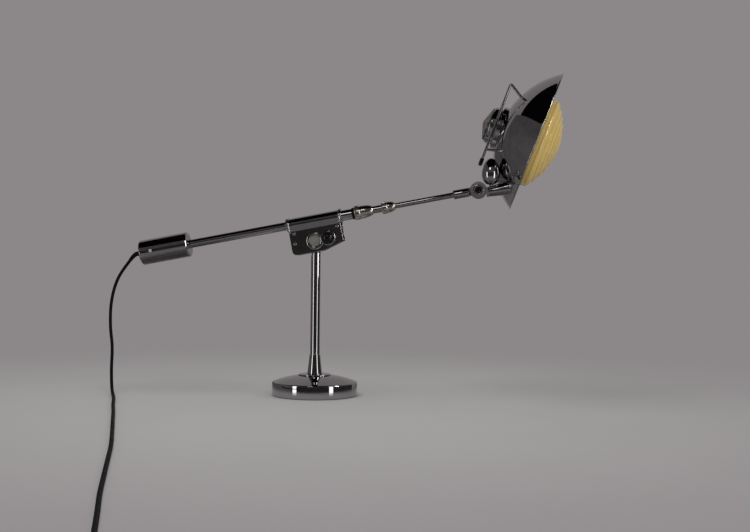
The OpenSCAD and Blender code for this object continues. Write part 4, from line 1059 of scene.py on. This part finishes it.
class LAMP_OT_head(bpy.types.Operator):
    """Make the bowl with its ring, drum and switch knob"""

    bl_idname = "lamp.head"
    bl_label = "Head"

    def execute(self, context):
        ease = edge_ease()
        _, _, hole, rim = span("bowl", HEAD)
        depth, sheet, lip, bead = 75, 1.2, 1.2, 1.5
        ball = (rim * rim + depth * depth) / (2 * depth)

        def dome(r, ball_r):
            """Point of a ball at a radius, round the bowl's own middle."""
            return r, math.sqrt(ball_r * ball_r - r * r) - (ball - depth)

        lathe("reflector", [
            *(dome(r, ball) for r in even(hole, rim - lip, 56)),
            *arc((rim - bead, 0), (bead, bead), 60, -180, 14),
            *(dome(r, ball - sheet) for r in even(rim - 2 * bead, hole, 56))],
            HEAD, "head", "bowl", steps=192, sharp=50)
        _, high, bore, outer = span("housing_ring", HEAD)
        seat = dome(outer, ball)[1] - 0.6
        lathe("drum_ring", [
            (bore, seat), (outer, seat), (outer, high - 2, ease), (outer - 1, high - 0.5, ease),
            (outer - 3, high, ease), (bore, high)], HEAD, "head", "housing_ring", steps=160)
        low, high, bore, outer = span("housing_drum", HEAD)
        wall = 1.5
        lathe("drum", [
            (outer - wall, low), (outer, low, 0.5 * ease), (outer - 0.5, high - 3, 2 * ease),
            (outer - 3, high, 2 * ease), (bore, high, 0.3 * ease), (bore, high - 2),
            (outer - 3 - wall, high - 2), (outer - wall, high - 5)], HEAD, "head", "housing_drum", steps=160)
        self.switch(high, sizes().lobes)
        return {"FINISHED"}

    def switch(self, drum_back, lobes):
        """Lobed knob that rises as a cone, with flutes up its flank."""
        _, high, _, outer = span("switch_knob", HEAD)
        low = drum_back + 0.4
        lobe, valley = 6, 28.5
        centre = outer - lobe
        pitch = 2 * math.pi / lobes

        def lobed(angle, r):
            """Radius at an angle: round lobes with valleys between them."""
            off = (angle + pitch / 2) % pitch - pitch / 2
            inner = lobe * lobe - (centre * math.sin(off)) ** 2
            edge = centre * math.cos(off) + math.sqrt(inner) if inner > 0 else 0
            return r * max(edge, valley) / outer

        rim, tip, top = low + 2.5, 5, high - 1
        cone = [(outer + (tip - outer) * t, rim + (top - rim) * t) for t in (0.1, 0.3, 0.5, 0.7, 0.9)]
        lathe("switch_grip", [
            (0, low), (outer - 1, low, 0.5), (outer, low + 0.8, 0.5), (outer, rim, 1.2), *cone,
            (tip, top, 1.5), (0, high)], HEAD, "switch_knob", "switch_knob", steps=16 * lobes, lobes=lobed,
            look="Switch moulding", slot="switch_grey", sharp=45)


class LAMP_OT_lens(bpy.types.Operator):
    """Make the ribbed lens, its seat and the bulb"""

    bl_idname = "lamp.lens"
    bl_label = "Lens and bulb"

    def execute(self, context):
        self.glass(sizes().lens_ribs)
        low, high, bore, outer = span("lens_ring", HEAD)
        lip = span("lens_ring", HEAD, lambda p: p.z < low + 0.1)[2]
        step = high - 3
        lathe("lens_seat", [
            (lip, low), (outer, low, 0.4), (outer, high, 0.6), (bore, high, 0.4), (bore, step), (lip, step)],
            HEAD, "head", "lens_ring", steps=160)
        _, neck, _, outer = span("bulb_glass", HEAD)
        lathe("bulb", [
            *arc((0, 2), (outer, outer), -90, 56, 40), (12.4, neck - 6, 4), (12, neck), (0, neck)],
            HEAD, "head", "bulb_glass", steps=96, look="Opal glass", slot="bulb")
        return {"FINISHED"}

    def glass(self, ribs):
        """Domed glass with round ribs, shallow rings on its wall, and painted shade in their grooves."""
        front, back, _, outer = span("lens", HEAD)
        wall, thick, rib, rings, shallow = 12, 4, 1.5, 2.5, 0.7
        crest, reach, deepest_shade = 0.8, 0.96, 0.75
        rise = -front - wall
        ball = (outer * outer + rise * rise) / (2 * rise)
        middle = front + ball
        widest = math.asin(outer / ball)
        outline = [(0, front)]
        for t in even(1, 0, 14 * ribs)[1:]:
            r = ball - rib + rib * abs(math.sin(math.pi * t * ribs)) ** crest
            a = widest * (1 - t)
            outline.append((r * math.sin(a), middle - r * math.cos(a)))
        for t in even(0, 1, 24)[1:]:
            dip = shallow * (1 - abs(math.cos(math.pi * t * rings)) ** crest)
            outline.append((outer - dip, -wall + (wall + back) * t))
        inner = ball - rib - thick
        outline += [(outer - thick, back, 0.6),
                    *arc((0, middle), (inner, inner), math.degrees(reach * widest) - 90, -90, 40)]
        lens = lathe("lens_glass", outline, HEAD, "head", "lens", steps=192, look="Yellow glass",
                     slot="yellow_glass", sharp=60)
        # Painted shade: how deep each point of the glass lies in a groove between ribs or rings; the glass is
        # darkened there.
        groove = lens.data.attributes.new("groove", "FLOAT", "POINT")
        local = HEAD.inverted()
        for vertex, mark in zip(lens.data.vertices, groove.data):
            at = (local @ vertex.co) / MM
            if at.z < -wall:
                depth = (ball - (at - Vector((0, 0, middle))).length) / rib
            else:
                depth = (outer - at.xy.length) / shallow
            mark.value = max(depth, 0) ** 4 * deepest_shade if depth < 1.01 else 0


class LAMP_OT_handle(bpy.types.Operator):
    """Make the wire handle and its black tip"""

    bl_idname = "lamp.handle"
    bl_label = "Wire handle"

    def execute(self, context):
        wire, turn, cap = 2.5 * MM, 5 * MM, 3.8

        def grip(up, back):
            """Point of the handle's plane, up and back from the head's middle in millimetres."""
            return HEAD @ Vector((up * MM, -45 * MM, back * MM))

        start, top, end = grip(56, 45), grip(79, 83), grip(-76, 81)
        into = (top - start).normalized() * turn
        out = (end - top).normalized() * turn
        path = [start, start.lerp(top - into, 0.5), *bend(top - into, top, top + out, 12),
                end.lerp(top + out, 0.5), end]
        leg = [grip(-51, 81.5), grip(-44, 54)]
        # Painted reflection: the wire's plating is lighter than the chrome, for the light it catches.
        make("handle", [swept(way, [wire] * len(way), 24) for way in (path, leg)], "head", "handle_wire",
             look="Bright wire", sharp=60)
        lathe("handle_end", [(0, -7), (cap, -7, 0.6), *arc((0, 4), (cap, cap), 0, 90, 10)], place(end, out),
              "head", "handle_tip", steps=48, look="Black moulding", slot="black_knob")
        return {"FINISHED"}


class LAMP_OT_inside(bpy.types.Operator):
    """Give the inner pieces that stay as the frame has them their finishes"""

    bl_idname = "lamp.inside"
    bl_label = "Inner pieces"

    def execute(self, context):
        for name, nodes in INSIDE.items():
            for node in nodes:
                materials = NODES[node].data.materials
                materials.clear()
                materials.append(bpy.data.materials[name])
        return {"FINISHED"}


class LAMP_OT_stage(bpy.types.Operator):
    """Set the floor, the backdrop and the lights"""

    bl_idname = "lamp.stage"
    bl_label = "Stage"

    def execute(self, context):
        context.scene.view_settings.view_transform = "Standard"
        self.world(context, colours().backdrop)
        self.floor(colours().floor)
        for light in LIGHTS:
            self.light(*light)
        self.surround()
        return {"FINISHED"}

    def surround(self):
        """Dark walls, a dark roof and a dark ground, which only polished metal sees."""
        black, dim, dark, ground = (finish(name, tone, (0.9, 1), marks, 40, (0.1, 1), worn, plain)
                                    for name, tone, marks, worn, plain in CARDS)
        left, right, near, far = -2.6, 3, -3.2, 2.4
        low, middle, top, behind = -0.8, 1, 3, 1.6
        for name, a, b, z, z_end, card in (
                ("Left far wall", (left, 3 * far), (left, far), low, 1.5 * middle, dark),
                ("Left wall", (left, far), (left, near), low, top, dark),
                ("Front wall", (left, near), (right, near), low, middle, dim),
                ("Front upper wall", (left, near), (right, near), middle, top, dark),
                ("Right wall", (right, near), (right, far), low, middle, dim),
                ("Right upper wall", (right, near), (right, far), middle, top, dark)):
            self.card(name, [(*a, z), (*b, z), (*b, z_end), (*a, z_end)], card)
        for name, back, z, card in (("Roof", behind, top, black), ("Ground", 2 * far, low / 2, ground)):
            self.card(name, [(left, near, z), (right, near, z), (right, back, z), (left, back, z)], card)

    def world(self, context, backdrop):
        """Plain backdrop for the eye, metal and glass, and even light for the rest."""
        world = bpy.data.worlds.new("Studio")
        context.scene.world = world
        world.use_nodes = True
        tree = world.node_tree
        seen = tree.nodes["Background"]
        seen.inputs["Color"].default_value = (*backdrop, 1)
        soft = add(tree, "ShaderNodeBackground", Color=(1, 1, 1, 1), Strength=0.45)
        rays = add(tree, "ShaderNodeLightPath")
        either = add(tree, "ShaderNodeMath", operation="MAXIMUM")
        any_of = add(tree, "ShaderNodeMath", operation="MAXIMUM")
        mix = add(tree, "ShaderNodeMixShader")
        join(tree, (rays, "Is Camera Ray", either, 0), (rays, "Is Glossy Ray", either, 1),
             (either, 0, any_of, 0), (rays, "Is Transmission Ray", any_of, 1), (any_of, 0, mix, 0),
             (soft, 0, mix, 1), (seen, 0, mix, 2), (mix, 0, tree.nodes["World Output"], "Surface"))

    def floor(self, pale):
        """Round pale floor that fades into the backdrop, and sooner in what mirrors it."""
        mesh = mesh_of("floor", [turned([(0, 0), (500, 0), (2000, 0), (5000, 0)], STAND, 96, flat=True)])
        material = finish("Floor paint", pale, (0.42, 0.5), 3, 300, (0.04, 0.2), 0.97,
                          {"Specular IOR Level": 0})
        tree = material.node_tree
        coords = add(tree, "ShaderNodeTexCoord")
        far = add(tree, "ShaderNodeVectorMath", operation="LENGTH")
        fade = smooth(tree, 0.25, 1.5)
        near = smooth(tree, 0.1, 0.26)
        rays = add(tree, "ShaderNodeLightPath")
        mirrored = add(tree, "ShaderNodeMath", operation="MULTIPLY")
        both = add(tree, "ShaderNodeMath", operation="MAXIMUM")
        clear = add(tree, "ShaderNodeBsdfTransparent")
        mix = add(tree, "ShaderNodeMixShader")
        join(tree, (coords, "Object", far, 0), (far, "Value", fade, "Value"), (far, "Value", near, "Value"),
             (near, "Result", mirrored, 0), (rays, "Is Glossy Ray", mirrored, 1), (fade, "Result", both, 0),
             (mirrored, 0, both, 1), (both, 0, mix, 0), (tree.nodes["Principled BSDF"], 0, mix, 1),
             (clear, 0, mix, 2), (mix, 0, tree.nodes["Material Output"], "Surface"))
        mesh.materials.append(material)
        floor = put("floor", mesh)

    def light(self, name, at, aim, width, height, power, glossy, diffuse):
        """Soft light that the camera doesn't see, turned to a point."""
        lamp = bpy.data.lights.new(name, "AREA")
        lamp.shape = "RECTANGLE"
        lamp.size, lamp.size_y = width, height
        lamp.energy = power
        light = put(name, lamp)
        light.location = at
        light.rotation_euler = (Vector(aim) - Vector(at)).to_track_quat("-Z", "Y").to_euler()
        light.visible_glossy = glossy
        light.visible_diffuse = diffuse
        light.visible_camera = False

    def card(self, name, corners, material):
        """Card that only polished metal sees."""
        mesh = bare_mesh(name, corners, [(0, 1, 2, 3)])
        mesh.materials.append(material)
        card = put(name, mesh)
        for ray in ("camera", "diffuse", "shadow", "transmission"):
            setattr(card, f"visible_{ray}", False)


OPERATORS = (LAMP_OT_finishes, LAMP_OT_camera, LAMP_OT_lead, LAMP_OT_base, LAMP_OT_bracket,
             LAMP_OT_pivot, LAMP_OT_arm, LAMP_OT_telescope, LAMP_OT_knuckle, LAMP_OT_head,
             LAMP_OT_lens, LAMP_OT_handle, LAMP_OT_inside, LAMP_OT_stage)


class LAMP_PT_panel(bpy.types.Panel):
    """Lamp's sizes, colours and building steps"""

    bl_idname = "LAMP_PT_panel"
    bl_label = "Lamp"
    bl_space_type = "VIEW_3D"
    bl_region_type = "UI"
    bl_category = "Lamp"

    def draw(self, context):
        for group in (context.scene.lamp_sizes, context.scene.lamp_colours):
            box = self.layout.box()
            for name in group.bl_rna.properties.keys():
                if name not in ("rna_type", "name"):
                    box.prop(group, name)
        for operator in OPERATORS:
            self.layout.operator(operator.bl_idname)


CLASSES = (LampSizes, LampColours, *OPERATORS, LAMP_PT_panel)


def register():
    for cls in CLASSES:
        bpy.utils.register_class(cls)
    bpy.types.Scene.lamp_sizes = PointerProperty(type=LampSizes)
    bpy.types.Scene.lamp_colours = PointerProperty(type=LampColours)


def unregister():
    del bpy.types.Scene.lamp_sizes
    del bpy.types.Scene.lamp_colours
    for cls in reversed(CLASSES):
        bpy.utils.unregister_class(cls)


def main():
    register()
    bpy.ops.lamp.finishes()
    bpy.ops.lamp.camera()
    bpy.ops.lamp.lead()
    bpy.ops.lamp.base()
    bpy.ops.lamp.bracket()
    bpy.ops.lamp.pivot()
    bpy.ops.lamp.arm()
    bpy.ops.lamp.telescope()
    bpy.ops.lamp.knuckle()
    bpy.ops.lamp.head()
    bpy.ops.lamp.lens()
    bpy.ops.lamp.handle()
    bpy.ops.lamp.inside()
    bpy.ops.lamp.stage()


if __name__ == "__main__":
    main()
